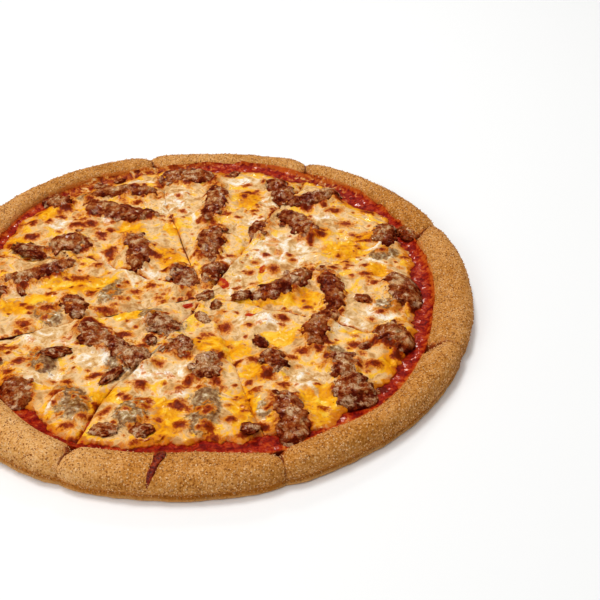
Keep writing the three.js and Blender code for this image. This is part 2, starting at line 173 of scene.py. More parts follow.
SHUFFLE = (12.9, 78.2, 37.7), 43758.5  # unrelated numbers, which make a place look like a random draw


def crumbs_at(points, size, seed):
    """For crumbs of a size: 0 in a crumb's middle and more towards its edge, and its own number."""
    moved = (points / size + 5.17 * seed).tolist()
    found = [noise.voronoi(point) for point in moved]
    distance = np.array([nearest[0][0] for nearest in found])
    middle = np.array([tuple(nearest[1][0]) for nearest in found])
    return distance, np.abs(np.sin(middle @ SHUFFLE[0]) * SHUFFLE[1]) % 1


def flat(x, y):
    return np.column_stack([x, y, np.zeros_like(x)])


print("a cloud's spread:", cloud(flat(np.arange(50.0), np.arange(50.0)), 9, 1).std().round(2))


# %% The cuts, and a map of every slice
def make_cut(points):
    arms = np.array(points, float) - CUT_CENTRE
    heading = math.atan2(arms[-1, 1], arms[-1, 0])
    turns = np.arctan2(arms[:, 1], arms[:, 0]) - heading
    turns = np.arctan2(np.sin(turns), np.cos(turns))
    return heading, through_knots(list(zip(np.hypot(*arms.T), turns)))


CUTS = [make_cut(points) for points in CUT_POINTS]
SMALLEST_CIRCLE = 30  # smaller circles close in on the point where the cuts meet


def after(number):
    return (number + 1) % len(CUTS)


def reach(radius, heading):
    """From the cuts' meeting point along a heading to a circle round the pizza's middle."""
    circle = np.maximum(radius, SMALLEST_CIRCLE)
    along = CUT_CENTRE[0] * np.cos(heading) + CUT_CENTRE[1] * np.sin(heading)
    distance = np.sqrt(along**2 - CUT_CENTRE @ CUT_CENTRE + circle**2) - along
    return distance * np.minimum(radius, SMALLEST_CIRCLE) / SMALLEST_CIRCLE


def slice_point(number, radius, share, gaps=(0, 0)):
    """The point at a radius, and at a share of the way from the slice's first cut to its second."""
    (first, first_sway), (second, second_sway) = CUTS[number], CUTS[after(number)]
    first_reach, second_reach = reach(radius, first), reach(radius, second)
    start = first + first_sway(first_reach) + gaps[0] / 2 / np.maximum(first_reach, 0.1)
    spread = (second - first) % (2 * math.pi)
    stop = first + spread + second_sway(second_reach) - gaps[1] / 2 / np.maximum(second_reach, 0.1)
    heading = lerp(start, stop, share)
    distance = reach(radius, heading)
    return CUT_CENTRE[0] + distance * np.cos(heading), CUT_CENTRE[1] + distance * np.sin(heading)


def cut_distance(x, y):
    """The distance to the nearest cut."""
    dx, dy = x - CUT_CENTRE[0], y - CUT_CENTRE[1]
    distance, bearing = np.hypot(dx, dy), np.arctan2(dy, dx)
    nearest = distance
    for heading, sway in CUTS:
        turn = bearing - heading - sway(distance)
        angle = np.abs(np.arctan2(np.sin(turn), np.cos(turn)))
        across = np.where(angle > math.pi / 2, distance, distance * np.sin(angle))
        nearest = np.minimum(nearest, across)
    return nearest


print("slice 2 at its rim:", slice_point(1, np.array([140.0]), np.array([0.5])))

# %% Heights of the crust and the cheese
swell_at = round_circle(CRUST_SWELL)
outline_at = round_circle(OUTLINE_SWELL)
inner_edge_at = round_circle(CRUST_INNER_EDGE)
band_at = round_circle(SAUCE_BAND)

# Meat under the cheese: x, y, length, width, heading in degrees.
BURIED_MEAT = [
    (-53, -97, 24, 15, -60), (-22, -103, 20, 14, 80), (-77, -28, 18, 12, -60),
    (103, 29, 17, 10, 20), (-81, 93, 14, 10, -50), (11, -100, 38, 13, 88), (-70, -69, 16, 9, -60),
    (-22, -29, 15, 9, 10), (35, -35, 22, 14, 20), (-48, -8, 22, 12, 70),
]
BURIED_HEIGHT = 1.7
# Where that meat shows through the cheese, which is wider than the swelling itself.
COVERED_MEAT = [
    (11, -101, 42, 19, 88), (-53, -96, 30, 21, -60), (-22, -103, 26, 20, 80), (-15, -38, 26, 18, -25),
    (-99, 31, 28, 15, -20), (104, 28, 22, 14, 20), (-77, -27, 26, 17, -60), (-81, 93, 16, 10, -50),
    (-72, -66, 24, 15, -60), (-22, -29, 15, 9, 10), (-46, -8, 28, 12, 70), (73, -61, 16, 12, 60),
    (103, -20, 20, 12, -40), (-34, -72, 22, 12, -60), (40, -100, 14, 10, 60),
]
# Waves: height, length, seed.
CREST_WAVE, OUTLINE_WAVE = (0.25, 47, 2), (0.35, 90, 5)
CHEESE_WAVES = [(0.45, 43, 1), (0.3, 23, 3)]
CHEESE_CUT_DEPTH, CHEESE_CUT_WIDTH = 0.8, 4
CHEESE_THINNING = -1, 16  # from its edge inwards, the cheese thickens over this stretch
HALF = 0.69  # e to the power -0.69 is a half


def pinch_at(x, y):
    return bell(cut_distance(x, y), PINCH_WIDTH)


def wave_at(x, y, height, length, seed):
    return height * ripple(x, y, length, seed)


def crest_at(x, y):
    return (CRUST_HEIGHT + swell_at(x, y) + wave_at(x, y, *CREST_WAVE)
            - PINCH_DEPTH * pinch_at(x, y))


def outer_edge_at(x, y):
    wave = wave_at(x, y, *OUTLINE_WAVE) - OUTLINE_WAVE[0]
    return PIZZA_RADIUS + outline_at(x, y) + wave - PINCH_INDENT * pinch_at(x, y)


def cheese_edge_at(x, y):
    return inner_edge_at(x, y) - band_at(x, y)


def own_axes(x, y, patch):
    """How far a place lies along and across a patch (x, y, length, width, heading), from its middle."""
    dx, dy = x - patch[0], y - patch[1]
    turn = math.radians(patch[4])
    return dx * math.cos(turn) + dy * math.sin(turn), dy * math.cos(turn) - dx * math.sin(turn)


def from_own_axes(along, across, patch):
    """The place that lies so far along and across a patch."""
    turn = math.radians(patch[4])
    return (patch[0] + along * math.cos(turn) - across * math.sin(turn),
            patch[1] + along * math.sin(turn) + across * math.cos(turn))


def patch_distance(x, y, patch):
    """0 in the middle of a patch, 1 on its outline."""
    along, across = own_axes(x, y, patch)
    return np.hypot(along / (patch[2] / 2), across / (patch[3] / 2))


def patches_at(x, y, patches, inner=0.45, outer=1.25):
    """1 inside any of the patches, falling to 0 outside them."""
    best = np.zeros_like(x)
    for patch in patches:
        near = np.hypot(x - patch[0], y - patch[1]) < patch[2] * outer
        covered = 1 - smoothstep(patch_distance(x[near], y[near], patch), inner, outer)
        best[near] = np.maximum(best[near], covered)
    return best


def spots_at(x, y, spots, strengths):
    """Soft round spots: 1 in the middle of a strong one, half of that on its outline."""
    best = np.zeros_like(x)
    for spot, strength in zip(spots, strengths):
        near = np.hypot(x - spot[0], y - spot[1]) < spot[2] * 1.2
        field = np.exp(-HALF * patch_distance(x[near], y[near], spot) ** 2)
        best[near] = np.maximum(best[near], strength * field)
    return best


def cheese_top_at(x, y):
    inside = cheese_edge_at(x, y) - np.hypot(x, y)
    thinning = 1 - smoothstep(inside, *CHEESE_THINNING)
    full = (CHEESE_HEIGHT + sum(wave_at(x, y, *wave) for wave in CHEESE_WAVES)
            + BURIED_HEIGHT * patches_at(x, y, BURIED_MEAT)
            - CHEESE_CUT_DEPTH * bell(cut_distance(x, y), CHEESE_CUT_WIDTH))
    least = CHEESE_BOTTOM + CHEESE_EDGE_THICKNESS
    return np.maximum(lerp(full, least, thinning**2), least)


def bed_height_at(x, y):
    """The height of what the meat lies on: cheese, or sauce beyond the cheese."""
    beyond = smoothstep(np.hypot(x, y) - cheese_edge_at(x, y), -2, 4)
    return lerp(cheese_top_at(x, y), SAUCE_TOP, beyond)


here = np.array([40.0])
print("cheese top at (40, 30):", cheese_top_at(here, here - 10).round(2), "mm")

# %% [markdown]
# ## Shader maths as plain expressions
# A finish is a graph of nodes. Written node by node it hides what it computes, so a small class
# wraps a socket and turns + - * into Math nodes, and one method makes every other node. What
# varies over a surface only feeds colour, roughness, coat weight and the bump.


# %% A finish and its values
class Value:
    """A socket that adds Math nodes when it is used in an expression."""

    def __init__(self, finish, socket):
        self.finish, self.socket = finish, socket

    def _math(self, operation, first, second):
        inputs = {0: first, 1: second}
        return self.finish.value("ShaderNodeMath", {"operation": operation}, inputs)

    def __add__(self, other):
        return self._math("ADD", self, other)

    def __radd__(self, other):
        return self._math("ADD", other, self)

    def __sub__(self, other):
        return self._math("SUBTRACT", self, other)

    def __rsub__(self, other):
        return self._math("SUBTRACT", other, self)

    def __mul__(self, other):
        return self._math("MULTIPLY", self, other)

    def __rmul__(self, other):
        return self._math("MULTIPLY", other, self)


def tint(code):
    """A colour written as six hex digits, as linear light with alpha."""
    channels = [int(code[i:i + 2], 16) / 255 for i in (0, 2, 4)]
    return (*[c / 12.92 if c < 0.04045 else ((c + 0.055) / 1.055) ** 2.4 for c in channels], 1)


class Finish:
    """One material and the nodes that make it."""

    def __init__(self, name):
        self.material = bpy.data.materials.new(name)
        self.material.use_nodes = True
        self.tree = self.material.node_tree
        self.tree.nodes.clear()
        place = self.value("ShaderNodeTexCoord", output="Object")
        self.place = self.value("ShaderNodeVectorMath", {"operation": "SCALE"},
                                {0: place, "Scale": 1 / MM})

    def node(self, kind, settings=None, inputs=None):
        made = self.tree.nodes.new(kind)
        for name, setting in (settings or {}).items():
            if name == "stops":
                self.set_stops(made.color_ramp, setting)
            else:
                setattr(made, name, setting)
        for name, given in (inputs or {}).items():
            if isinstance(given, Value):
                self.tree.links.new(given.socket, made.inputs[name])
            else:
                made.inputs[name].default_value = given
        return made

    def value(self, kind, settings=None, inputs=None, output=0):
        return Value(self, self.node(kind, settings, inputs).outputs[output])

    def set_stops(self, ramp, stops):
        while len(ramp.elements) < len(stops):
            ramp.elements.new(1)
        for element, (place, code) in zip(ramp.elements, stops):
            element.position, element.color = place, tint(code)

    def ramp(self, factor, stops):
        return self.value("ShaderNodeValToRGB", {"stops": stops}, {0: factor})

    def blend(self, factor, first, second):
        """The first colour where factor is 0, the second where it is 1."""
        return self.value("ShaderNodeMix", {"data_type": "RGBA"}, {0: factor, 6: first, 7: second},
                          output=2)

    def over(self, colour, *layers):
        """Lays plain colours over a colour, each with a mask that says where."""
        for mask, code in layers:
            colour = self.blend(mask, colour, tint(code))
        return colour

    def smooth(self, value, low, high):
        return self.value("ShaderNodeMapRange", {"interpolation_type": "SMOOTHSTEP"},
                          {"Value": value, "From Min": low, "From Max": high})

    def clouds(self, size, detail=2.0, roughness=0.55, distortion=0.0):
        return self.value("ShaderNodeTexNoise", None, {
            "Vector": self.place, "Scale": 1 / size, "Detail": detail,
            "Roughness": roughness, "Distortion": distortion})

    def crumbs(self, size, output="Distance"):
        return self.value("ShaderNodeTexVoronoi", None,
                          {"Vector": self.place, "Scale": 1 / size}, output=output)

    def painted(self, name):
        """A number stored on the points of the mesh."""
        return self.value("ShaderNodeAttribute", {"attribute_name": name}, output="Fac")

    def frayed(self, name, fray, low, high):
        """A painted number as a mask from 0 to 1, its edge frayed by a noise around 0."""
        return self.smooth(self.painted(name) + fray, low, high)

    def bump(self, height, distance):
        return self.value("ShaderNodeBump", None,
                          {"Strength": 1.0, "Distance": distance * MM, "Height": height})

    def surface(self, settings):
        shader = self.node("ShaderNodeBsdfPrincipled", None, settings)
        out = self.node("ShaderNodeOutputMaterial")
        self.tree.links.new(shader.outputs[0], out.inputs[0])
        return self.material


print("cream as linear light:", [round(c, 2) for c in tint("f1d5a2")])


# %% [markdown]
# ### Baked crust
# The rim is rolled in coarse semolina before it is baked. Close up it is golden brown with lighter
# and darker grains well under a millimetre across. Low on the side runs an amber bake line, and the
# thin lip under it stays pale. Where the sauce boiled up, the rim is stained orange. One noise would
# look like paint, so clouds of three sizes and crumbs are mixed.


# %% Crust finish
def crust_finish():
    crust = Finish("baked_crust")
    broad = crust.clouds(22, detail=3)
    shade = crust.clouds(5, detail=2)
    fine = crust.clouds(1.0, detail=2, roughness=0.7)
    mottle = fine * 0.7 + broad * 0.3 + shade * 0.3 - 0.15
    colour = crust.ramp(mottle, [
        (0.30, "8b4a12"), (0.42, "ac6a22"), (0.52, "c38038"), (0.62, "d79852"), (0.74, "ebb97e")])
    # A lighter copy of the crust: painted light, laid over the upper rim by bearing.
    painted_lit_crust = crust.ramp(mottle, [
        (0.30, "b9752f"), (0.42, "d2934a"), (0.52, "e2a964"), (0.62, "eebb7c"), (0.74, "f8d3a0")])
    colour = crust.blend(crust.painted("pale"), colour, painted_lit_crust)
    grain = 1 - crust.smooth(crust.crumbs(1.4), 0.2, 0.4)
    pick = crust.value("ShaderNodeSeparateColor", None,
                       {0: crust.crumbs(1.4, output="Color")}, output="Red")
    stain = crust.frayed("stain", (shade - 0.5) * 1.6, 0.35, 1.0)
    # Painted shade: dark red brown in the creases and notches of the cuts, over the sauce stain.
    crease = crust.frayed("crease", (shade - 0.5) * 0.9, 0.35, 0.75)
    colour = crust.over(
        colour,
        (grain * crust.smooth(pick, 0.6, 0.7) * 0.85, "efc28c"),
        (grain * (1 - crust.smooth(pick, 0.22, 0.32)) * 0.85, "86430f"),
        (crust.painted("bake") * 0.7, "ae6414"), (crust.painted("lip") * 0.7, "d9a566"),
        (stain * 0.75, "cc6a1c"), (crease * 0.85, "761c05"))
    bumps = fine * 0.6 + grain * 0.5 + shade * 0.8
    return crust.surface({
        "Base Color": colour, "Roughness": 0.85 - grain * 0.2 - stain * 0.3 - crease * 0.2,
        "Specular IOR Level": 0.06, "Normal": crust.bump(bumps, 0.4)})


# %% [markdown]
# ### Cooked tomato sauce
# Between the cheese and the rim the sauce shows as a deep red gloss with soft lumps of tomato. Its
# oil turns the edge by the rim orange, melted cheese is smeared over parts of it, and where it is
# thin it burns to a dark red brown.


# %% Sauce finish
def sauce_finish():
    sauce = Finish("tomato_sauce")
    lumps = sauce.clouds(3.2, detail=3, distortion=0.6)
    specks = sauce.clouds(1.1, detail=2)
    colour = sauce.ramp(lumps * 0.75 + specks * 0.3, [
        (0.34, "540301"), (0.46, "820d02"), (0.55, "a22405"), (0.66, "be480e"), (0.78, "dc7622")])
    oil = sauce.frayed("oil", (lumps - 0.5) * 2.0, 0.3, 0.95)
    colour = sauce.over(colour, (oil * 0.8, "c85a12"))
    smear = sauce.frayed("smear", (lumps - 0.5) * 2.4, 0.3, 0.9)
    clots = sauce.clouds(4.5, detail=3, roughness=0.6, distortion=1.0)
    melted = sauce.ramp(clots, [
        (0.36, "5c1203"), (0.45, "a03c0a"), (0.53, "c9701c"), (0.6, "dfa04c"), (0.68, "f2cf98")])
    colour = sauce.blend(smear * 0.9, colour, melted)
    burnt = sauce.frayed("burnt", (specks - 0.5) * 1.6, 0.3, 0.7)
    colour = sauce.over(colour, (burnt * 0.85, "520a02"))
    return sauce.surface({
        "Base Color": colour, "Roughness": 0.3 + burnt * 0.15 + specks * 0.2,
        "Specular IOR Level": 0.05, "Coat Weight": sauce.smooth(lumps, 0.52, 0.68),
        "Coat Roughness": 0.12, "Coat IOR": 1.35,
        "Normal": sauce.bump(lumps + specks * 0.25, 0.6)})


# %% [markdown]
# ### Melted cheese
# Two cheeses melt together: a cream white one and an orange yellow one. Where it is thin over meat it
# turns greyish, at its edge the sauce shines through, and where it bubbled up it browned: a dark red
# brown blister inside an orange halo. Which is where comes from numbers painted on the mesh, and
# noise frays their edges.


# %% Cheese finish
def cheese_finish():
    cheese = Finish("melted_cheese")
    broad = cheese.clouds(10, detail=3, distortion=1.4) - 0.5
    streaks = cheese.clouds(3.4, detail=3, roughness=0.5, distortion=1.0) - 0.5
    fine = cheese.clouds(1.1, detail=2, roughness=0.6) - 0.5

    yellow = cheese.frayed("yellow", broad * 3.4 + streaks * 1.4, -0.2, 0.4)
    tone = streaks * 0.6 + broad + fine * 0.1 + 0.5
    cream = cheese.ramp(tone, [
        (0.28, "bb8246"), (0.40, "daab6c"), (0.51, "efcfa0"), (0.61, "fbf0de")])
    golden = cheese.ramp(tone, [
        (0.28, "c87004"), (0.42, "e59206"), (0.54, "f4ac10"), (0.68, "fcc93e")])
    colour = cheese.blend(yellow, cream, golden)

    under = cheese.frayed("under", streaks * 2.0 + fine, 0.25, 0.65)
    clots = cheese.clouds(2.4, detail=2, roughness=0.6) - 0.5
    greyish = cheese.ramp(clots * 1.2 + fine * 0.25 + broad * 0.6 + 0.5, [
        (0.26, "541502"), (0.37, "6c3f1e"), (0.50, "8c6440"), (0.64, "b0946c"), (0.78, "e8d6b8")])
    colour = cheese.blend(under * 0.92, colour, greyish)

    thin = cheese.frayed("thin", streaks * 1.8 + broad * 1.5, 0.35, 0.9)
    tomato = cheese.frayed("tomato", streaks * 1.6, 0.4, 0.75)
    # The brown number holds the browning, and also painted shade along the cuts.
    brown = cheese.painted("brown") + streaks * 1.3 + fine * 0.9
    halo = cheese.smooth(brown, 0.12, 0.52)
    core = cheese.smooth(brown, 0.42, 0.86)
    dark = cheese.smooth(brown, 0.8, 1.2)
    colour = cheese.over(colour, (thin * 0.85, "be5c06"), (tomato, "b42a08"),
                         (halo * 0.8, "e0840c"), (core, "9c3604"), (dark * 0.85, "5c1402"))
    wet = cheese.smooth(streaks + broad * 0.7 + clots * 0.5, 0.0, 0.22)
    return cheese.surface({
        "Base Color": colour, "Roughness": 0.36 + fine * 0.15, "Specular IOR Level": 0.05,
        "Coat Weight": wet * (1 - core) * (1 - tomato), "Coat Roughness": 0.12, "Coat IOR": 1.33,
        "Normal": cheese.bump(streaks, 0.45)})


# %% [markdown]
# ### Doner meat
# Minced meat, pressed and grilled, then cut in strips: a grey brown crumbly inside, and a dark red
# brown crust on the edges that faced the fire. Fat makes single crumbs glisten. Every crumb has a
# tone of its own, painted on the mesh, the gaps between crumbs are darkened with painted shade, and
# a veil of melted cheese lies over parts of it.


# %% Meat finish
def meat_finish():
    meat = Finish("doner_meat")
    broad = meat.clouds(13, detail=2) - 0.5
    clumps = meat.clouds(4.5, detail=3) - 0.5
    fine = meat.clouds(0.9, detail=2, roughness=0.65) - 0.5
    tone = meat.painted("tone") * 0.5 + fine * 0.9 + clumps * 1.2 + broad * 1.3 + 0.12
    colour = meat.ramp(tone, [
        (0.1, "500e01"), (0.3, "822b06"), (0.5, "a2521e"), (0.7, "be7e48"), (0.9, "e2b57e")])
    crusted = meat.frayed("crusted", clumps * 3.0 + fine, 0.3, 0.8)
    dark = meat.ramp(tone, [
        (0.15, "3c0600"), (0.42, "701801"), (0.66, "9c3b0a"), (0.9, "d0884c")])
    colour = meat.blend(crusted, colour, dark)
    # Painted shade: darker in the gaps between crumbs.
    gap = meat.smooth(meat.painted("gap"), 0.45, 0.8)
    colour = meat.over(colour, (gap * 0.4, "300500"))
    veil = meat.frayed("veil", clumps * 2.8 + fine * 0.4, 0.35, 0.9)
    melted = meat.ramp(fine * 0.7 + clumps * 0.8 + 0.5, [
        (0.35, "8c4a1c"), (0.5, "ae7644"), (0.65, "e4c096")])
    colour = meat.blend(veil * 0.7, colour, melted)
    glisten = meat.frayed("tone", fine * 1.2 + clumps, 0.55, 0.9)
    return meat.surface({
        "Base Color": colour, "Roughness": 0.55 - glisten * 0.2, "Specular IOR Level": 0.03,
        "Coat Weight": glisten * 0.55, "Coat Roughness": 0.13, "Coat IOR": 1.4,
        "Normal": meat.bump(fine + clumps * 0.5, 0.9)})


# %% Grain and drip finishes
def plain_grain_finish(name, pale, deep):
    grain = Finish(name)
    mottle = grain.clouds(1.4, detail=1)
    return grain.surface({
        "Base Color": grain.ramp(mottle, [(0.35, deep), (0.65, pale)]),
        "Roughness": 0.55 + mottle * 0.2, "Specular IOR Level": 0.2})


def drip_finish():
    drip = Finish("burnt_sauce")
    mottle = drip.clouds(1.6, detail=3)
    return drip.surface({
        "Base Color": drip.ramp(mottle, [(0.32, "3c0802"), (0.5, "701904"), (0.66, "a43a10")]),
        "Roughness": 0.15 + mottle * 0.3, "Specular IOR Level": 0.16, "Normal": drip.bump(mottle, 0.9)})


FINISHES = {
    "crust": crust_finish(),
    "sauce": sauce_finish(),
    "cheese": cheese_finish(),
    "meat": meat_finish(),
    "pale_grain": plain_grain_finish("pale_semolina", "ecbd84", "d09654"),
    "dark_grain": plain_grain_finish("toasted_semolina", "bc7a38", "945418"),
    "burnt_sauce": drip_finish(),
}
print("finishes:", ", ".join(FINISHES))

# %% [markdown]
# ## From a bmesh to a finished piece
# Each piece is shaped as a bmesh in millimetres. The helpers read all its points as one array, move
# them at once, and at the end scale the mesh to metres, so that the object itself stays at the
# origin, unturned and unscaled.


# %% Finishing a piece
def places(bm):
    return np.fromiter((c for vert in bm.verts for c in vert.co), float).reshape(-1, 3)


def move(bm, points):
    for vert, point in zip(bm.verts, points.tolist()):
        vert.co = point


def to_mesh(bm, name):
    mesh = bpy.data.meshes.new(name)
    bm.to_mesh(mesh)
    bm.free()
    return mesh


def put_in_scene(name, data):
    made = bpy.data.objects.new(name, data)
    bpy.context.scene.collection.objects.link(made)
    return made


def finish(bm, name, finish_name, slot, nodes=(), painted=None, sharp=60):
    """Makes a bmesh in millimetres a piece of the pizza, with numbers painted on its points."""
    bmesh.ops.recalc_face_normals(bm, faces=bm.faces)
    bmesh.ops.scale(bm, vec=(MM, MM, MM), verts=bm.verts)
    for face in bm.faces:
        face.smooth = True
    mesh = to_mesh(bm, name)
    mesh.set_sharp_from_angle(angle=math.radians(sharp))
    for label, numbers in (painted or {}).items():
        mesh.attributes.new(label, "FLOAT", "POINT").data.foreach_set("value", numbers)
    mesh.materials.append(FINISHES[finish_name])
    piece = put_in_scene(name, mesh)
    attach(piece, "root")
    if nodes:
        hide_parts(*nodes)
    return piece


def count_faces(kind, pieces):
    faces = sum(len(piece.data.polygons) for piece in pieces)
    print(f"{kind}: {len(pieces)} pieces, {faces} faces")


# %% [markdown]
# ### A slice is a fan
# Every layer of a slice is a section swept round the tip. Spin does that with a closed chain of
# points, and leaves the two ends open, where edgeloop_fill makes the walls of the cuts. One fan does
# for all eight slices of a layer: a copy of it is bent to the real slice, where a point's radius and
# its share of the turn say where it belongs.

# %% A fan from a closed section
FAN_TURN = math.radians(45)
TIP = 2.4  # the sections start this far from the tip


def fan(section, steps):
    """A closed section swept round, with the radius, the share of the turn and the height of each
    of its points."""
    bm = bmesh.new()
    chain = [bmesh.ops.create_vert(bm, co=(radius, 0, height))["vert"][0]
             for radius, height in section]
    sides = [bm.edges.new(pair) for pair in zip(chain, chain[1:] + chain[:1])]
    bmesh.ops.spin(bm, geom=chain + sides, cent=(0, 0, 0), axis=(0, 0, 1), angle=FAN_TURN,
                   steps=steps, use_duplicate=False)
    bmesh.ops.edgeloop_fill(bm, edges=[edge for edge in bm.edges if edge.is_boundary])
    flat_fan = places(bm)
    radius = np.hypot(flat_fan[:, 0], flat_fan[:, 1])
    share = np.arctan2(flat_fan[:, 1], flat_fan[:, 0]) / FAN_TURN
    return bm, radius, share, flat_fan[:, 2]


def stops(start, stop, spacing):
    """Evenly spaced numbers, both ends included."""
    return np.linspace(start, stop, max(int(abs(stop - start) / spacing), 1) + 1)


# %% [markdown]
# ### Dough
# The section is a flat base with a small foot, and a rim that is a flattened dome. Its crest, its
# inner edge and its outline change round the pizza. Where the cutter went through, the dough is
# creased, and its inner side is notched and full of sauce.

# %% The rim's section
FOOT = through_knots([(0, 148.2), (0.5, 149.3), (1.3, 149.7), (2.2, 149.2), (3.2, 148.7),
                      (4.5, 149.3), (6, 150)])
CREST = lerp(CRUST_INNER_RADIUS, PIZZA_RADIUS, CREST_PLACE)


def dome_side(side, side_height, steps):
    """Half of a flattened dome, from just past the crest down to one side."""
    turn = np.linspace(0, math.pi / 2, steps + 1)[1:]
    out = np.sin(turn) ** (2 / DOME_FULLNESS)
    down = 1 - np.cos(turn) ** (2 / DOME_FULLNESS)
    return list(zip(lerp(CREST, side, out), lerp(CRUST_HEIGHT, side_height, down)))


def dough_section():
    under = [(radius, 0) for radius in stops(TIP, FOOT(0), 9)]
    foot = [(float(FOOT(height)), height) for height in stops(0, CRUST_WAIST, 0.5)[1:-1]]
    deck = [(radius, DECK_HEIGHT) for radius in stops(CRUST_INNER_RADIUS - 0.8, TIP, 9)]
    return (under + foot + dome_side(PIZZA_RADIUS, CRUST_WAIST, 20)[::-1] + [(CREST, CRUST_HEIGHT)]
            + dome_side(CRUST_INNER_RADIUS, CRUST_INNER_LIP, 20) + deck)


def dough_shape(x, y, radius, height):
    inner, outer = inner_edge_at(x, y), outer_edge_at(x, y)
    across = (radius - CRUST_INNER_RADIUS) / (PIZZA_RADIUS - CRUST_INNER_RADIUS)
    stretched = np.where(across > 0, lerp(inner, outer, across), radius * inner / CRUST_INNER_RADIUS)
    foot = np.where(across > CREST_PLACE, CRUST_WAIST, CRUST_INNER_LIP)
    rise = np.maximum(height - foot, 0) / (CRUST_HEIGHT - foot)
    return stretched, np.minimum(height, foot) + rise * (crest_at(x, y) - foot), across


print("the rim's section has", len(dough_section()), "points")

# %% What baking and cutting did to the rim
DOUGH_GAPS = 0.6, 0.12  # how far the cut gapes at the rim's inner edge, and outside
DOUGH_LUMPS = [(0.28, 9, 1), (0.10, 1.6, 2)]
RAGGED_HEIGHT, RAGGED_LUMPS = 1.3, [(0.55, 7, 3)]  # where the foot is torn, and how much
CREASE_WIDTH, CREASE_DEPTH, CREASE_PULL = 1.3, 1.3, 0.8
NOTCH_WIDTH, NOTCH_DEPTH = 4.2, 2.4
BAKE_LINE_HEIGHT, BAKE_LINE_WIDTH = 3.4, 1.5

# By bearing: how strongly the sauce stained the rim.
STAINS = round_circle([(-150, 0.5), (-100, 0.3), (-75, 0.5), (-55, 1.2), (-30, 0.6), (0, 0.7),
                       (25, 0.6), (45, 0.7), (68, 1.5), (82, 0.6), (110, 1.0), (135, 0.9),
                       (165, 0.5)])
# By bearing: how much lower the inner half of the rim lies than a full dome.
INNER_SLUMP = round_circle([
    (-170, 0.6), (-140, 1.0), (-122, 1.4), (-108, 0.2), (-92, 0.6), (-78, 0.9), (-65, 1.8),
    (-50, 1.6), (-35, 1.5), (-20, 1.6), (0, 1.2), (12, 0.2), (30, 0.5), (60, 0.2), (140, 0.2)])
# By bearing: how much painted light makes the upper rim paler, most on the lower left, where light falls
# from the left.
PAINTED_RIM_LIGHT = round_circle([
    (-170, 0.6), (-150, 0.8), (-118, 0.8), (-106, 0.6), (-97, 0), (-82, 0.15), (-70, 0), (10, 0.2),
    (30, 0), (55, 0.3), (90, 0.4), (120, 0.1), (145, 0.3)])
print("sauce stain on the far right of the rim:", STAINS(100.0, 100.0).round(2))

# %% Eight slices of dough
DOUGH_FAN = fan(dough_section(), steps=150)


def make_dough(number):
    template, radius, share, height = DOUGH_FAN
    bm = template.copy()
    x, y = slice_point(number, radius, share)
    real_radius, real_height, across = dough_shape(x, y, radius, height)
    gap = lerp(*DOUGH_GAPS, smoothstep(across, 0, 0.7))
    x, y = slice_point(number, real_radius, share, (gap, gap))
    here = np.column_stack([x, y, real_height])
    on_rim = smoothstep(across, -0.02, 0.05)
    lumps = relief(here, DOUGH_LUMPS)
    low = smoothstep(real_height, 0.05, 1.0)  # 0 on the flat underside, so that it stays flat
    outward = np.where(across > 0.5, 1.0, -0.4)[:, None] * flat(x, y) / np.hypot(x, y)[:, None]
    steep = np.abs(across - 0.5) * 2
    ragged = relief(here, RAGGED_LUMPS) * bell(real_height - RAGGED_HEIGHT, 1.1) * smoothstep(
        across, 0.8, 0.9)
    cut = cut_distance(x, y) + 0.5 * cloud(here, 6, 5)
    crease, notch = bell(cut, CREASE_WIDTH), bell(cut, NOTCH_WIDTH)
    inner_half = 1 - smoothstep(across, 0.1, 0.65)
    pulled_in = CREASE_PULL * crease * smoothstep(across, 0.6, 0.9) * low
    here += outward * ((lumps * steep * low + ragged - pulled_in) * on_rim)[:, None]
    here[:, 2] += lumps * on_rim * low * (1 - steep * 0.6)
    here[:, 2] -= on_rim * low * (
        inner_half * (INNER_SLUMP(x, y) + NOTCH_DEPTH * notch)
        + CREASE_DEPTH * crease * (1 - smoothstep(across, 0.6, 1)))
    move(bm, here)
    outer = smoothstep(across, 0.6, 0.9)
    wander = 0.7 * cloud(here, 13, 4)
    return finish(bm, f"dough_slice_{number + 1}", "crust", "crust", [f"slice_{number + 1}_dough"], {
        "bake": outer * bell(here[:, 2] - BAKE_LINE_HEIGHT - wander, BAKE_LINE_WIDTH),
        "lip": outer * (1 - smoothstep(here[:, 2] - wander, 1.2, 2.4)),
        "stain": STAINS(x, y) * bell(np.maximum(across, 0), 0.1)
                 + notch * (1 - smoothstep(across, 0.2, 0.7)),
        # painted light: the upper rim paler by bearing, most on the lower left
        "pale": PAINTED_RIM_LIGHT(x, y) * smoothstep(here[:, 2], 5, 9),
        # painted shade in the creases and notches of the cuts
        "crease": crease * (1 - 0.5 * smoothstep(across, 0.2, 0.95))
                  + notch * (1 - smoothstep(across, 0.0, 0.45)),
    })


dough = [make_dough(number) for number in range(len(CUTS))]
count_faces("dough", dough)

# %% [markdown]
# ### Sauce
# The sauce lies under all of the cheese, but only its outer band shows, so the section is fine there
# and coarse inside. It creeps up the rim where it touches it.

# %% Eight slices of sauce
SAUCE_GAP = 0.12
SAUCE_LUMPS = [(0.30, 5, 11), (0.14, 1.8, 12)]
CREEP_REACH = 1.9  # how fast the sauce's creep up the rim falls off
OIL_REACH = 2.4
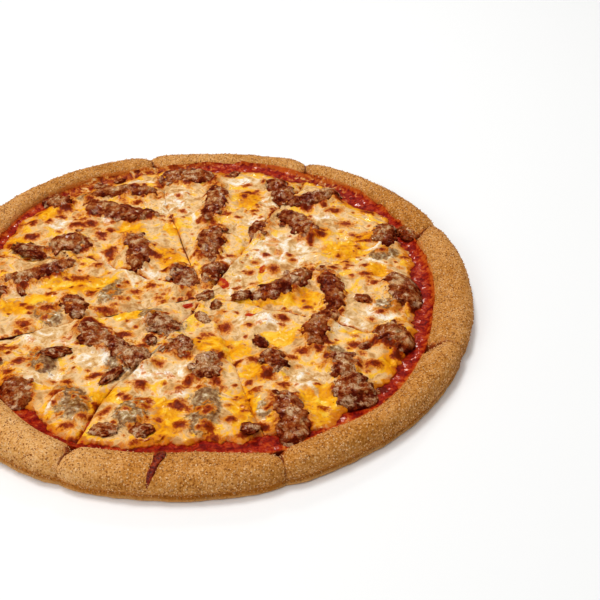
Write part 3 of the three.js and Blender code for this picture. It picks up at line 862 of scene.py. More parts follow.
# By bearing: how high the sauce creeps up the rim, and where melted cheese is smeared over it.
CREEP = round_circle([(-90, 1.6), (-45, 1.8), (0, 2.6), (45, 3.0), (90, 3.1), (135, 2.9), (180, 2.4)])
SMEARS = round_circle([(-140, 0), (-115, 0.2), (-95, 0), (-50, 0), (0, 0), (20, 0.1), (40, 0),
                       (60, 0.7), (70, 0.2), (85, 0), (95, 0.5), (105, 0.9), (128, 0.8),
                       (140, 0.2), (150, 0), (170, 0.1)])
BURNT_SAUCE = [
    (-72, 110, 9, 6, 20), (-57, 113, 7, 5, 0), (-85, 112, 8, 5, 30), (-50, 125, 7, 5, 0),
    (-42, 134, 7, 6, 0), (-44, 119, 8, 5, 0), (20, 122, 8, 5, 0), (-70, -111, 7, 6, 0),
    (96, -84, 9, 7, -40), (99, -93, 8, 5, -40), (-103, 62, 7, 4, 60), (47, -127, 7, 5, 20),
    (52, -118, 9, 6, 0), (119, 45, 7, 5, 0), (-20, -124, 8, 4, 0),
]


def sauce_section():
    wall = CRUST_INNER_RADIUS + 0.5
    under = [(radius, 0) for radius in stops(TIP, wall, 14)]
    return under + [(radius, 1) for radius in [*stops(wall, 104, 0.6), *stops(96, TIP, 14)]]


SAUCE_FAN = fan(sauce_section(), steps=130)


def make_sauce(number):
    template, radius, share, is_top = SAUCE_FAN
    bm = template.copy()
    x, y = slice_point(number, radius, share)
    shift = (inner_edge_at(x, y) - CRUST_INNER_RADIUS) * smoothstep(radius, 60, 104)
    real_radius = radius + shift
    x, y = slice_point(number, real_radius, share, (SAUCE_GAP, SAUCE_GAP))
    from_wall = inner_edge_at(x, y) - real_radius
    here = flat(x, y)
    uneven = np.maximum(1 + 0.45 * cloud(here, 11, 13), 0.2)
    creep = CREEP(x, y) * uneven * np.exp(-np.maximum(from_wall + 0.5, 0) / CREEP_REACH)
    showing = smoothstep(from_wall, 26, 20)  # further from the wall it is under the cheese
    top = SAUCE_TOP + creep + relief(here, SAUCE_LUMPS) * showing
    here[:, 2] = np.where(is_top > 0.5, top, SAUCE_BOTTOM)
    move(bm, here)
    return finish(bm, f"sauce_slice_{number + 1}", "sauce", "sauce", [f"slice_{number + 1}_sauce"], {
        "oil": bell(np.maximum(from_wall + 0.3, 0), OIL_REACH) * STAINS(x, y) * uneven,
        "smear": SMEARS(x, y),
        "burnt": np.maximum(patches_at(x, y, BURNT_SAUCE, 0.2, 1.2),
                            0.45 * bell(real_radius - cheese_edge_at(x, y), 2.2)),
    })


sauce = [make_sauce(number) for number in range(len(CUTS))]
count_faces("sauce", sauce)

# %% [markdown]
# ### What lies where
# The strips of doner are laid out first, because the cheese rises against them. Blisters, yellow
# areas and white areas are read off the real pizza, and many small blisters are scattered
# between them.

# %% Strips and crumbs of doner
# A strip: x, y, length, width, heading, bend, height. A crumb: x, y, length, width, heading.
MEAT_STRIPS = [
    (-53, 95, 45, 9, 2, 1.5, 4.2), (-54, 73, 44, 14, -18, -2, 4.6),
    (-16, 113, 36, 15, 2, 2, 4.6), (3, 83, 42, 12, 86, -1.5, 4.4),
    (-88, 9, 40, 11, 30, -2, 4.4), (-77, 35, 25, 15, 12, 2, 5.2),
    (-38, 30, 36, 12, -78, 1.5, 4.4), (5, 38, 34, 13, 86, 1.5, 4.6),
    (-8, 5, 24, 12, -65, 1, 4.2), (6.5, 8.5, 20, 9, 60, 0.5, 3.8),
    (47, -2, 43, 12, 40, -2, 4.6), (72.5, -9, 40, 10, -83, 1.5, 5),
    (67, -41, 30, 12, 72, 2, 4.8), (111, -8, 29, 15, -80, 1.5, 5),
    (106.5, 48, 22, 12, 85, 1, 4.6), (119, 51, 14, 8.5, -62, 0.5, 4.4),
    (104, -48, 21, 15, -45, 0.5, 4.8), (77, -70, 18, 13, -80, 0.5, 4.4),
    (82, -88, 21, 17, -62, -0.5, 4.6), (43, -67, 17, 10.5, -80, 0.5, 4),
    (51, -106, 32, 13, -78, 1, 4.6), (10.5, -71, 21, 12, 90, 0.5, 4.2),
    (-46, -48, 33, 13, -38, -1.5, 4.2), (-28, -62, 20, 11, -12, 0.5, 3.8),
    (-5.5, -56, 17, 12, -20, 0.5, 3.8), (-15, -39, 20, 12, -35, 0.5, 3.8),
    (43, 96, 31, 13, -70, 1, 4.6), (64, 89, 36, 11, 28, -2, 4.8),
    (54, 59, 34, 12, -52, 1, 4.6), (32, 53, 18, 9, 74, 0.5, 4.2),
    (-94, 86, 22, 12, -35, 0.5, 4.6), (-64, -22, 18, 11, -60, 0.5, 4.4),
    (-80, -89, 20, 13, -70, 0.5, 4.2), (-112, -16, 26, 12, 65, 1, 4.4),
    (-104, -62, 24, 13, -40, 1, 4.4),
]
MEAT_CRUMBS = [
    (25, -13, 12, 7, 10), (36, -51, 11, 7, -60), (33, -114, 10, 7, 0), (-16, -115, 11, 9, 0),
    (-34, -114, 14, 8, -5), (-20, -50, 9, 6, -80), (-95, -9, 9, 4, -55), (90, -15, 11, 7, -30),
    (89, -54, 9, 6, 15), (-67, -60, 17, 8, 15), (14, 121, 8, 7, 60), (-71, 108, 10, 7, 0),
    (4, -30, 15, 7, -50), (-60, 115, 8, 7, 40), (-84, 109, 9, 6, 20), (-98, 31, 27, 12, -22),
    (5, -12, 11, 8, 40), (-36, -77, 17, 6, 55), (-29, -67, 13, 6, -60), (11, -20, 8, 6, 70),
]
print(len(MEAT_STRIPS), "strips and", len(MEAT_CRUMBS), "crumbs")

# %% Blisters and the two cheeses: x, y, length, width, heading
BLISTERS = [
    (83, 60, 9, 7, 0), (60, 77, 7, 6, 0), (77, 75, 8, 6, 0), (97, 74, 8, 5, 0), (93, 42, 10, 4, 0),
    (69, 47, 5, 4, 0), (87, 48, 5, 4, 0), (82, 20, 6, 4, 0), (92, 17, 5, 3, 0), (93, 8, 8, 5, 0),
    (97, 0, 5, 4, 0), (75, 14, 5, 3, 0), (41, 13, 8, 6, 80), (52, 22, 5, 4, 0), (37, 27, 5, 4, 0),
    (50, 27, 4, 3, 0), (62, 40, 8, 4, 90), (25, 95, 11, 5, 0), (22, 105, 6, 4, 0), (28, 75, 6, 4, 0),
    (-86, 75, 7, 5, 0), (-77, 59, 9, 5, 0), (-69, 60, 8, 5, 0), (-44, 84, 7, 5, 0),
    (-104, 62, 6, 4, 0), (-88, 68, 6, 4, 0), (-101, 45, 8, 5, 0), (-53, 29, 13, 8, 85),
    (-27, 27, 9, 5, -20), (-60, 48, 7, 5, 0), (-35, 66, 6, 4, 0), (-45, 62, 6, 4, 0),
    (-66, 4, 13, 6, -10), (-57, 16, 7, 4, -20), (-80, -10, 5, 4, 0), (-78, -24, 10, 8, -30),
    (-88, -36, 9, 7, 0), (-47, -24, 11, 5, 0), (-33, -8, 7, 5, 0), (-25, -3, 6, 5, 0),
    (-53, -37, 12, 5, -10), (-34, -45, 9, 5, 0), (-92, -56, 12, 5, 10), (-84, -67, 8, 5, 30),
    (-87, -74, 6, 4, 0), (-57, -82, 6, 4, 0), (-44, -77, 9, 4, 20), (-60, -92, 9, 6, 80),
    (-50, -111, 6, 4, 0), (-48, -120, 6, 4, 0), (-21, -84, 7, 6, 0), (-1, -98, 8, 7, 0),
    (1, -112, 7, 6, 0), (-26, -94, 5, 4, 0), (-18, -94, 5, 3, 0), (-36, -103, 10, 4, 40),
    (14, -113, 7, 5, 0), (2, -82, 8, 5, 80), (2, -72, 4, 3, 0), (17, -39, 9, 7, 70),
    (47, -32, 8, 6, 0), (52, -63, 6, 5, 0), (57, -58, 8, 6, 0), (40, -78, 7, 5, 0),
    (48, -84, 7, 5, 0), (33, -65, 7, 5, 0), (60, -22, 6, 4, 0), (92, -16, 7, 6, 0),
    (93, -52, 10, 6, 0), (84, -53, 7, 5, 0), (92, -69, 10, 5, 0), (99, -26, 6, 4, 0),
    (104, -62, 6, 4, 0), (34, -88, 6, 4, 0), (24, -108, 6, 4, 0), (68, -100, 6, 4, 0),
]
YELLOW_AREAS = [
    (83, 33, 30, 18, 10), (95, 45, 18, 10, 0), (68, 50, 14, 16, 0), (24, 88, 16, 24, 0),
    (-18, 25, 30, 15, -60), (-60, -2, 50, 18, -5), (-98, -22, 24, 12, 0), (-20, 55, 16, 10, -60),
    (15, -55, 40, 14, -10), (60, -13, 12, 20, 0), (-7, -106, 14, 34, 0), (30, -100, 14, 34, 0),
    (64, -95, 20, 24, 0), (-41, -94, 24, 12, 30), (103, -66, 16, 18, 0), (40, -15, 34, 12, 0),
    (45, -48, 26, 10, 0), (35, -75, 16, 14, 0), (-32, -30, 20, 8, 0), (-85, -15, 16, 10, 0),
    (-95, 75, 24, 14, 60), (-25, 110, 16, 8, 0), (70, 112, 24, 14, -40), (90, 82, 20, 10, -30),
    (-45, 55, 20, 12, 0), (-110, 40, 14, 10, 0), (100, 12, 16, 14, 0), (82, -42, 16, 8, 0),
]
WHITE_AREAS = [
    (45, 30, 34, 38, 0), (38, 85, 12, 20, 0), (20, 110, 22, 10, 0), (-22, 86, 14, 26, -15),
    (-45, 110, 20, 8, 0), (-60, -47, 34, 10, 8), (-25, -35, 16, 8, 0), (35, -34, 26, 10, 0),
    (80, -38, 20, 16, 0), (100, -25, 20, 16, 0), (-20, -76, 30, 12, 0), (-75, -47, 24, 10, 0),
    (0, -74, 16, 12, 0), (-85, 60, 22, 10, 0), (-105, -8, 14, 10, 0), (70, 65, 16, 14, 0),
    (-30, 8, 16, 12, 0), (30, 62, 12, 14, 0), (-62, 62, 22, 8, 0), (-5, -90, 14, 10, 0),
    (58, -80, 12, 14, 0), (15, 20, 10, 16, 30), (-70, -78, 20, 10, 0), (-45, -64, 22, 12, 0),
]


SMALL_BLISTER_COUNT, BLISTERED_RADIUS = 850, 120


def scatter_blisters(count):
    """Small blisters between the others, anywhere on the cheese, some only just browned."""
    angle = lot.uniform(-math.pi, math.pi, count)
    distance = BLISTERED_RADIUS * np.sqrt(lot.uniform(0, 1, count))
    length = 1.6 * np.exp(lot.uniform(0, 1.15, count))
    x, y = distance * np.cos(angle), distance * np.sin(angle)
    spots = list(zip(x, y, length * 1.25, length * lot.uniform(0.7, 1.1, count),
                     lot.uniform(-40, 40, count)))
    return spots, lot.uniform(0.4, 1.1, count) * (1 - 0.35 * patches_at(x, y, WHITE_AREAS))


SMALL_BLISTERS, SMALL_STRENGTHS = scatter_blisters(SMALL_BLISTER_COUNT)
print(len(BLISTERS), "large blisters and", len(SMALL_BLISTERS), "small ones")


# %% How near a strip or a strand is
BLUNTNESS = 3.2  # 2 makes a strip's outline an ellipse, and more makes its ends blunter
CLIMB_REACH, NEAR_REACH = 2.6, 2.2  # how far from a strip the cheese climbs and browns


def strip_distance(x, y, strip):
    """Below 0 inside a strip's outline, and above it outside, where 1 is about half a width away."""
    length, width, bend = strip[2], strip[3], strip[5]
    along, across = own_axes(x, y, strip)
    along = along / (length / 2)
    bent = bend * (1 - 2 * np.clip(along, -1, 1) ** 2)
    return (np.abs(along) ** BLUNTNESS + ((across - bent) / (width / 2)) ** 2) ** 0.45 - 1


def beside_meat(x, y):
    """How high the cheese climbs against the strips, and how near the nearest one is."""
    climb, near_meat = np.zeros_like(x), np.zeros_like(x)
    for strip in MEAT_STRIPS:
        close = np.hypot(x - strip[0], y - strip[1]) < strip[2] / 2 + 10
        away = strip_distance(x[close], y[close], strip) * strip[3] / 2
        outside = np.maximum(away, 0)
        climb[close] = np.maximum(climb[close], strip[6] * bell(outside, CLIMB_REACH))
        near_meat[close] = np.maximum(near_meat[close], bell(outside, NEAR_REACH))
    return climb, near_meat


def strands_at(x, y):
    """1 along the middle of every strand of cheese, falling to 0 beside it."""
    best = np.zeros_like(x)
    for strand in STRANDS:
        close = np.hypot(x - strand[0], y - strand[1]) < strand[2] / 2 + 4
        away = np.maximum(strip_distance(x[close], y[close], strand) + 1, 0) * strand[3] / 2
        best[close] = np.maximum(best[close], bell(away, strand[3] / 2))
    return best


# %% [markdown]
# ### Cheese
# The top of the cheese is the finest mesh of all: its relief is the lumps and strings of two melted
# cheeses, the climb against every strip, the blisters, the strands that were drawn out, and the
# groove along the cuts with a lifted lip beside it. All of it is real shape, and the same numbers
# paint the browning, and a painted shade along the cuts that is darkest on the sunk side of a lip.

# %% Edges, cuts and strands of the cheese
CHEESE_EDGE = 124
EDGE_DRAWN_IN = round_circle([(-115, 0), (-100, 1.5), (-85, 3), (-72, 2), (-60, 0.5), (0, 0)])
# By cut: distance from where the cuts meet, and how far the cheese gapes there. Most of the way
# the cheese melted together again.
CHEESE_GAPS = [through_knots(knots) for knots in [
    [(0, 0), (20, 0.05), (110, 0.05), (124, 0.4)], [(0, 0), (20, 0.1), (95, 0.1), (120, 0.6)],
    [(0, 0), (30, 0.2), (42, 0.8), (62, 0.8), (74, 0.1), (100, 0.1)],
    [(0, 0), (20, 0.1), (40, 0.5), (75, 0.5), (100, 0.2)],
    [(0, 0), (20, 0.1), (35, 0.6), (70, 0.6), (100, 0.2)],
    [(0, 0), (50, 0.3), (80, 0.5), (110, 0.4)], [(0, 0), (45, 0.15), (90, 0.4), (120, 0.4)],
    [(0, 0), (60, 0.05), (110, 0.1), (120, 0.4)],
]]
CHEESE_SUNK = 0.6  # the underside sinks this far into the sauce
# By cut: how far the cheese stands up beside it, on the slice before it and on the slice after it.
CUT_LIPS = [(0.1, 0.3), (1.7, -0.8), (0.9, 0.1), (-0.5, 1.5), (-0.9, 2.0), (-0.8, 1.7), (0.6, 0.1),
            (1.5, -0.6)]
LIP_WIDTH = 4.5
CUT_DEPTHS = [0.15, 0.7, 0.7, 0.6, 0.9, 0.9, 0.6, 0.6]
# Strands of cheese: x, y, length, width, heading, bend.
STRANDS = [
    (-25, 84, 28, 2.4, 75, 3), (-17, 88, 26, 2.2, 80, -3), (-11, 70, 20, 2, -60, 2),
    (116, 41, 17, 2.8, 15, 1.5), (122, 32, 12, 2.6, -70, 1), (111, 8, 20, 2.4, -60, 2),
    (-48, 17, 26, 2.2, -40, -2), (-38, 4, 20, 1.8, -65, 1),
    (24, 4, 14, 3, 20, 2), (28, -9, 12, 3.4, -30, -1), (20, -4, 12, 2.2, 60, 1),
    (-30, -76, 13, 1.8, 60, 0), (96, 22, 18, 1.8, -20, 1), (98, 36, 16, 1.6, 30, -1),
    (-60, -96, 16, 1.8, 60, 1), (62, -90, 18, 1.8, -70, 2), (-100, 36, 18, 1.6, -30, 1),
]
# Where tomato shows through the cheese: x, y, length, width, heading.
TOMATO = [(14, 0, 14, 8, -60), (35, 13, 9, 5, 70), (-5, 14, 8, 4, 60), (30, -30, 9, 4, 0),
          (-4, -20, 10, 4, 30), (60, -38, 6, 5, 0)]
print(len(STRANDS), "strands of cheese")


# %% Eight slices of cheese
def cheese_section():
    under = [(radius, 0) for radius in stops(TIP, CHEESE_EDGE, 9)]
    return under + [(radius, 1) for radius in stops(CHEESE_EDGE, TIP, 0.55)]


CHEESE_FAN = fan(cheese_section(), steps=160)
EDGE_FRAYS = [(2.6, 9, 21), (1.3, 3, 22)]
LARGE_STRENGTHS = [1.1] * len(BLISTERS)


def make_cheese(number):
    template, radius, share, is_top = CHEESE_FAN
    bm = template.copy()
    x, y = slice_point(number, radius, share)
    frayed = relief(flat(x, y), EDGE_FRAYS) - EDGE_DRAWN_IN(x, y)
    edge = cheese_edge_at(x, y) + frayed * smoothstep(radius, 100, CHEESE_EDGE)
    real_radius = radius * edge / CHEESE_EDGE
    from_centre = np.hypot(x - CUT_CENTRE[0], y - CUT_CENTRE[1])
    first, second = number, after(number)
    gaps = [CHEESE_GAPS[cut](from_centre) for cut in (first, second)]
    x, y = slice_point(number, real_radius, share, gaps)
    here = flat(x, y)
    inside = edge - real_radius
    cut = cut_distance(x, y)

    blobs, strings, fine = cloud(here, 11, 23), cloud(here, 4.2, 24), cloud(here, 1.5, 25)
    ridged = 1 - 2 * np.abs(cloud(here * (1, 1.7, 1), 6, 26, 1))
    under = patches_at(x, y, COVERED_MEAT, 0.5, 1.2)
    uneven = 1.3 * blobs + 0.7 * strings + (0.03 + 0.4 * under) * fine + 0.2 * ridged
    large = spots_at(x, y, BLISTERS, LARGE_STRENGTHS)
    small = spots_at(x, y, SMALL_BLISTERS, SMALL_STRENGTHS)
    climb, near_meat = beside_meat(x, y)
    strands = strands_at(x, y)

    by_second = share > 0.5  # the slice's second cut is the nearer one
    from_tips = smoothstep(from_centre, 2, 22)
    lip = lerp(CUT_LIPS[first][1], CUT_LIPS[second][0], by_second) * bell(cut, LIP_WIDTH) * from_tips * (
        1 - 0.7 * smoothstep(from_centre, 70, 115))
    groove = lerp(CUT_DEPTHS[first], CUT_DEPTHS[second], by_second) + lerp(*gaps, by_second)
    sunk_side = smoothstep(-lip, 0.05, 0.3)
    top = (cheese_top_at(x, y) + uneven * smoothstep(inside, 0, 6) + 0.45 * large + 0.2 * small
           + climb * (0.42 + 0.3 * strings) + lip + 0.65 * strands
           - groove * bell(cut, 1.1) * from_tips - 0.9 * bell(cut, 2) * sunk_side)
    rounded = CHEESE_BOTTOM - 0.1 + (top - CHEESE_BOTTOM + 0.1) * smoothstep(inside, -0.4, 3.2) ** 0.5
    here[:, 2] = np.where(is_top > 0.5, rounded, CHEESE_BOTTOM - CHEESE_SUNK)
    move(bm, here)

    far_left = smoothstep(-x, 10, 90) * smoothstep(y, -25, 30)  # browner towards the far left
    return finish(bm, f"cheese_slice_{number + 1}", "cheese", "cheese",
                  [f"slice_{number + 1}_cheese"], {
        "brown": np.maximum(large, small) + near_meat * (0.4 + 0.5 * blobs) + 0.14 * blobs
                 + 0.1 * far_left
                 + bell(inside - 2.5, 2.5) * (0.25 + 0.9 * blobs)
                 # Painted shade along the cuts: a brown line in the groove, and a darker band on the
                 # sunk side of a lip, where the gap lies in shade.
                 + bell(cut, 1.3) * (0.1 + strings * 0.6) * from_tips
                 + 0.9 * bell(cut, 1.7) * sunk_side
                 - 0.6 * strands - 0.25 * np.maximum(lip, 0),
        "yellow": 0.9 * patches_at(x, y, YELLOW_AREAS, 0.3, 1.3)
                  - 0.9 * patches_at(x, y, WHITE_AREAS, 0.3, 1.3)
                  - 0.9 * strands + 0.25 * bell(inside, 8),
        "under": np.maximum(under, 0.35 * near_meat) - 0.8 * strands,
        "thin": bell(np.maximum(inside, 0), 3.2),
        "tomato": patches_at(x, y, TOMATO, 0.3, 1.2) + 0.55 * bell(np.maximum(inside, 0), 1.2),
    })


cheese = [make_cheese(number) for number in range(len(CUTS))]
count_faces("cheese", cheese)

# %% [markdown]
# ### Doner strips
# A strip is a ball drawn out long, its ends blunt, laid on the cheese and bent a little. Clumps,
# crumbs and fine grit are added as real relief on all that shows, and the foot of a strip is
# painted with a skirt of melted cheese here and there.

# %% Shaping a strip
LENGTHENING, WIDENING = 1.07, 1.24  # how much larger a strip is than its outline in the list
ROUGHNESS, CLUMPINESS = 0.12, 0.17
SUNK = 2.2
CRUMB_SIZE = 2.2
GRIT = [(0.6, 4.2, 32), (0.4, 1.1, 31)]
# By strip: how much melted cheese veils it. The others have VEIL.
VEIL = 0.3
VEILED = {26: 0.8, 24: 0.75, 25: 0.5, 18: 0.5, 22: 0.7, 23: 0.5, 19: 0.5, 5: 0.4, 9: 0.5, 12: 0.0,
          6: 0.2, 1: 0.05, 2: 0.2, 13: 0.1, 17: 0.1, 16: -0.5}


def lying_ball(sides, rings):
    """A ball of radius 1 whose poles are its two ends, and the places of its points."""
    bm = bmesh.new()
    bmesh.ops.create_uvsphere(bm, u_segments=sides, v_segments=rings, radius=1)
    bmesh.ops.rotate(bm, verts=bm.verts, cent=(0, 0, 0), matrix=Matrix.Rotation(math.pi / 2, 3, "Y"))
    return bm, places(bm).T


def make_strip(strip, number):
    x0, y0, length, width, _, bend, height = strip
    length, width = length * LENGTHENING, width * WIDENING
    bm, (along, across, up) = lying_ball(sides=56, rings=72)
    seed = 0.37 * x0 + 0.53 * y0
    lump = ripple(20 * along + 9 * seed, 11 * across + 7 * up, 9, seed)
    round_ = np.hypot(across, up)
    ball = np.column_stack([along * length / 2, across * width / 2, up * height])
    clumps = cloud(ball, 5, seed)
    uneven = 1 + ROUGHNESS * lump + CLUMPINESS * clumps
    girth = np.sqrt(np.maximum(1 - np.abs(along) ** BLUNTNESS, 0)) / np.maximum(round_, 1e-6)
    forwards = along * length / 2 * (1 + 0.06 * clumps)
    sideways = across * girth * width / 2 * uneven + bend * (1 - 2 * along**2)
    x, y = from_own_axes(forwards, sideways, strip)
    rise = up * girth * np.where(up > 0, height * uneven, SUNK)
    here = np.column_stack([x, y, bed_height_at(x, y) + rise])
    move(bm, here)
    bm.normal_update()
    normals = np.array([vert.normal for vert in bm.verts])
    warped = here * (1, 1, 0.7) + 0.8 * cloud(here, 3, 33)[:, None]
    distance, own_number = crumbs_at(warped, CRUMB_SIZE, seed)
    grit = 0.5 * (0.5 - distance) + 0.35 * (own_number - 0.5) + relief(here, GRIT)
    here += normals * (grit * smoothstep(up, -0.3, 0.1))[:, None]
    move(bm, here)
    crusted = 0.8 * np.abs(across * girth) ** 2 + 0.5 * np.abs(along) ** 5 + 0.2 * (up < 0.2)
    skirt = bell(up - 0.05, 0.38) * smoothstep(cloud(here, 8, 34), -0.05, 0.35)
    veil = VEILED.get(number, VEIL) * smoothstep(up, 0.0, 0.5) + 0.8 * skirt
    # gap, the distance from a crumb's middle, becomes painted shade between crumbs in the finish.
    return finish(bm, f"doner_strip_{number:02d}", "meat", "meat", [f"meat_{number:02d}"], {
        "crusted": crusted, "tone": 0.8 * own_number + 0.35 * np.maximum(up, 0), "gap": distance,
        "veil": veil}, sharp=180)


strips = [make_strip(strip, number) for number, strip in enumerate(MEAT_STRIPS, start=1)]
count_faces("doner strips", strips)

# %% [markdown]
# ### Burnt drip
# A tongue of sauce ran out over the near rim and burnt on. It is a flattened ball, half sunk in the
# dough, which narrows on its way out and follows the height of the rim.

# %% The drip on the rim
DRIP_START, DRIP_END = np.array([-5.2, -128.5]), np.array([-10.2, -148.8])
DRIP_WIDTH, DRIP_RISE, DRIP_SUNK = 6.6, 1.0, 1.2
DRIP_LUMPS = [(0.25, 2.2, 41)]


def rim_height_at(x, y):
    """Height of the rim's top at a place on the near side."""
    inner, outer = inner_edge_at(x, y), outer_edge_at(x, y)
    across = np.clip((np.hypot(x, y) - inner) / (outer - inner), 0, 0.999)
    inward = across < CREST_PLACE
    half = np.where(inward, (CREST_PLACE - across) / CREST_PLACE, (across - CREST_PLACE) / CREST_PLACE)
    foot = np.where(inward, CRUST_INNER_LIP, CRUST_WAIST)
    return foot + (crest_at(x, y) - foot) * (1 - half**DOME_FULLNESS) ** (1 / DOME_FULLNESS)


def make_drip():
    bm, (along, across, up) = lying_ball(sides=28, rings=44)
    run = DRIP_END - DRIP_START
    side = np.array([-run[1], run[0]]) / np.hypot(*run)
    share = (along + 1) / 2
    half_width = (1 - 0.6 * share) * DRIP_WIDTH / 2 * (1 + 0.2 * np.sin(9 * share))
    sway = 0.9 * np.sin(3.1 * share)
    spot = DRIP_START + share[:, None] * run + (sway + across * half_width)[:, None] * side
    height = rim_height_at(spot[:, 0], spot[:, 1]) + up * np.where(up > 0, DRIP_RISE, DRIP_SUNK)
    here = np.column_stack([spot, height])
    here[:, 2] += relief(here, DRIP_LUMPS) * (up > 0)
    move(bm, here)
    return finish(bm, "burnt_sauce_drip", "burnt_sauce", "burnt_sauce", ["burnt_drip"], sharp=180)


drip = make_drip()
print("the drip is", round(max(drip.dimensions) / MM, 1), "mm long")

# %% [markdown]
# ### Semolina
# The grains are real shapes: tiny balls of twenty faces, half sunk in the rim, in one mesh of pale
# grains and one of toasted ones. A mesh of one grain is doubled again and again until there are
# enough, which takes thirteen steps, and then every grain is turned, sized and carried to its own
# place in one go.


# %% Places on the rim
def points_of(piece):
    """The points of a finished piece, in millimetres."""
    points = np.empty(len(piece.data.vertices) * 3)
    piece.data.vertices.foreach_get("co", points)
    return points.reshape(-1, 3) / MM


def faces_of(piece):
    """The middle of every face, and an arrow out of it that is as long as the face's area."""
    mesh = piece.data
    corners = np.empty(len(mesh.loops), dtype=int)
    mesh.loops.foreach_get("vertex_index", corners)
    first = np.empty(len(mesh.polygons), dtype=int)
    mesh.polygons.foreach_get("loop_start", first)
    beyond_last = np.append(first[1:], len(corners))
    following = np.arange(1, len(corners) + 1)
    following[beyond_last - 1] = first
    points = points_of(piece)[corners]
    middles = np.add.reduceat(points, first, axis=0) / (beyond_last - first)[:, None]
    return middles, np.add.reduceat(np.cross(points, points[following]), first, axis=0) / 2


RIM_START, LOWEST_GRAIN = 1, 2.5  # from the rim's inner edge outwards, and above the floor
WALL_AREA = 4  # larger faces are the walls of the cuts


def rim_spots(count):
    """Random places on the rim, with the way out of the dough at each."""
    found = [faces_of(piece) for piece in dough]
    spots, arrows = [np.vstack(parts) for parts in zip(*found)]
    areas = np.linalg.norm(arrows, axis=1)
    beyond = np.hypot(spots[:, 0], spots[:, 1]) - inner_edge_at(spots[:, 0], spots[:, 1])
    shown = (beyond > RIM_START) & (spots[:, 2] > LOWEST_GRAIN) & (areas < WALL_AREA)
    spots, arrows, areas = spots[shown], arrows[shown], areas[shown]
    # Operators leave the faces in an order that changes from run to run, so they are sorted first.
    order = np.lexsort(np.round(spots, 6).T)
    spots, arrows, areas = spots[order], arrows[order], areas[order]
    chosen = lot.choice(len(spots), count, p=areas / areas.sum())
    return spots[chosen] + lot.uniform(-0.35, 0.35, (count, 3)), arrows[chosen] / areas[chosen, None]


# %% Doubling one grain
GRAIN_STRETCH = 1, 1.25, 0.8


def make_grains(name, finish_name, doublings, smallest, largest):
    bm = bmesh.new()
    bmesh.ops.create_icosphere(bm, subdivisions=1, radius=0.5)
    for _ in range(doublings):
        bmesh.ops.duplicate(bm, geom=bm.verts[:] + bm.edges[:] + bm.faces[:])
    count = 2**doublings
    shape = places(bm).reshape(count, -1, 3)
    spots, outward = rim_spots(count)
    axis = outward + lot.normal(0, 0.5, (count, 3))
    axis /= np.linalg.norm(axis, axis=1)[:, None]
    side = np.cross(axis, lot.normal(0, 1, (count, 3)))
    side /= np.linalg.norm(side, axis=1)[:, None]
    third = np.cross(axis, side)
    size = lot.uniform(smallest, largest, (count, 3)) * GRAIN_STRETCH
    turned = sum((shape[:, :, [k]] * size[:, None, [k]]) * way[:, None, :]
                 for k, way in enumerate((axis, side, third)))
    move(bm, (turned + spots[:, None, :]).reshape(-1, 3))
    return finish(bm, name, finish_name, "crust", sharp=20)


semolina = [make_grains("semolina_pale", "pale_grain", 13, 0.45, 0.85),
            make_grains("semolina_toasted", "dark_grain", 13, 0.4, 0.75)]
count_faces("semolina", semolina)

# %% [markdown]
# ### Crumbs of doner
# Chopping the meat leaves crumbs of a few millimetres, which lie on the cheese and in the sauce: the
# ones listed above, and a loose one beside every strip. A crumb is a small ball made uneven, lifted
# on to the highest point under it.


# %% Crumbs as one piece
CRUMB_HEIGHT = 1.9
LARGE_CRUMB = 6  # longer crumbs have more faces
WIDENED_REACH = 1.25


def loose_crumb(strip):
    """A crumb beside a strip: x, y, length, width, heading, height."""
    turn, far = lot.uniform(0, 2 * math.pi), lot.uniform(0.48, 0.58)
    x, y = from_own_axes(far * strip[2] * math.cos(turn),
                         far * strip[3] * WIDENED_REACH * math.sin(turn), strip)
    size = lot.uniform(3.0, 5.5)
    return x, y, size, size * lot.uniform(0.6, 1), lot.uniform(0, 180), size * 0.16


def make_crumbs():
    whole = bmesh.new()
    tops = np.vstack([points_of(piece) for piece in cheese + sauce])
    crumbs = [(*crumb, CRUMB_HEIGHT) for crumb in MEAT_CRUMBS]
    crumbs += [loose_crumb(strip) for strip in MEAT_STRIPS]
    gaps, tones = [], []
    for number, crumb in enumerate(crumbs):
        x0, y0, length, width, _, height = crumb
        seed = 3.7 * number
        start = len(whole.verts)
        bmesh.ops.create_icosphere(whole, subdivisions=4 if length > LARGE_CRUMB else 3, radius=1)
        whole.verts.ensure_lookup_table()
        ball = np.array([vert.co for vert in whole.verts[start:]])
        distance, own_number = crumbs_at(ball * length / 2, CRUMB_SIZE, seed)
        uneven = 1.1 + 0.25 * cloud(ball * length / 2, 3, seed) - 0.3 * distance
        ball = ball * uneven[:, None] * (length / 2, width / 2, height)
        gaps.append(distance)
        tones.append(own_number)
        x, y = from_own_axes(ball[:, 0], ball[:, 1], crumb)
        middle = np.array([[x0], [y0]])
        close = np.hypot(*(tops[:, :2].T - middle)) < 1.5
        lift = tops[close, 2].max() - bed_height_at(*middle)[0] if close.any() else 0
        z = bed_height_at(x, y) + ball[:, 2] + lift
        for vert, point in zip(whole.verts[start:], zip(x, y, z)):
            vert.co = point
    here = places(whole)
    # gap becomes painted shade between the crumbs' own crumbs in the finish.
    return finish(whole, "doner_crumbs", "meat", "meat", (), {
        "crusted": 0.12 + 0.4 * cloud(here, 6, 51), "veil": 0.45 + 0.4 * cloud(here, 9, 52),
        "gap": np.concatenate(gaps), "tone": np.concatenate(tones)}, sharp=180)


count_faces("crumbs", [make_crumbs()])

# %% [markdown]
# ## Floor, light and camera
# The pizza lies on a plain pale floor. A soft light hangs above it, a larger one fills from the front
# left, and a small one behind it makes sauce, cheese and fat glisten towards the camera. The sky is
# brightest overhead.


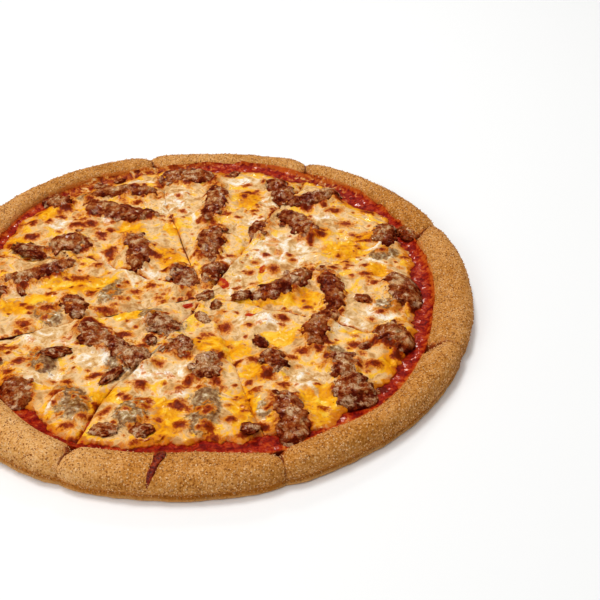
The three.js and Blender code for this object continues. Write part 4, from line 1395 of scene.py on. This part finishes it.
# %% Floor
def make_floor():
    bm = bmesh.new()
    bmesh.ops.create_grid(bm, x_segments=1, y_segments=1, size=3)
    mesh = to_mesh(bm, "floor")
    pale_floor = Finish("pale_floor")
    mesh.materials.append(pale_floor.surface({"Base Color": tint("fafaf9"), "Roughness": 0.8}))
    floor = put_in_scene("floor", mesh)
    return floor


floor = make_floor()
print("floor:", [round(side, 2) for side in floor.dimensions], "m")


# %% Light and camera
def aim(piece, target):
    piece.rotation_euler = (Vector(target) - piece.location).to_track_quat("-Z", "Y").to_euler()


def soft_light(name, place, size, power):
    """A round lamp that looks at the pizza: its place and size in metres, its power in watts."""
    lamp = bpy.data.lights.new(name, "AREA")
    lamp.shape, lamp.size, lamp.energy = "DISK", size, power
    lit = put_in_scene(name, lamp)
    lit.location = place
    aim(lit, (0, 0, 0))


soft_light("top_softbox", (-0.25, 0.2, 1.3), 0.4, 7.2)
soft_light("front_fill", (-0.8, -0.75, 0.8), 0.7, 4.6)
soft_light("back_sparkle", (0.15, 1.0, 0.85), 0.22, 2.2)


SKY_RIM = 0.7  # the sky is as dim as its horizon up to this height of its dome of radius 1


def overhead_sky(horizon, zenith):
    """A sky that is brightest overhead, like a wide softbox, and dims towards the horizon."""
    world = bpy.data.worlds.new("overhead_sky")
    world.use_nodes = True
    nodes, links = world.node_tree.nodes, world.node_tree.links
    direction, split, height = [nodes.new(kind) for kind in (
        "ShaderNodeTexCoord", "ShaderNodeSeparateXYZ", "ShaderNodeMapRange")]
    height.inputs["From Min"].default_value = SKY_RIM
    height.inputs["To Min"].default_value = horizon
    height.inputs["To Max"].default_value = zenith
    links.new(direction.outputs["Generated"], split.inputs[0])
    links.new(split.outputs["Z"], height.inputs["Value"])
    links.new(height.outputs["Result"], nodes["Background"].inputs["Strength"])
    nodes["Background"].inputs["Color"].default_value = (1, 1, 1, 1)
    bpy.context.scene.world = world


overhead_sky(0.16, 1.4)
bpy.context.scene.view_settings.view_transform = "Standard"

CAMERA_TARGET = Vector((0.056, -0.0015, 0))
CAMERA_DISTANCE = 0.5545
CAMERA_ELEVATION = math.radians(36.9)
lens = bpy.data.cameras.new("camera")
lens.lens, lens.sensor_width = 60, 36
camera = put_in_scene("camera", lens)
camera.location = CAMERA_TARGET + CAMERA_DISTANCE * Vector(
    (0, -math.cos(CAMERA_ELEVATION), math.sin(CAMERA_ELEVATION)))
aim(camera, CAMERA_TARGET)
bpy.context.scene.camera = camera
print("camera at", [round(c, 3) for c in camera.location])
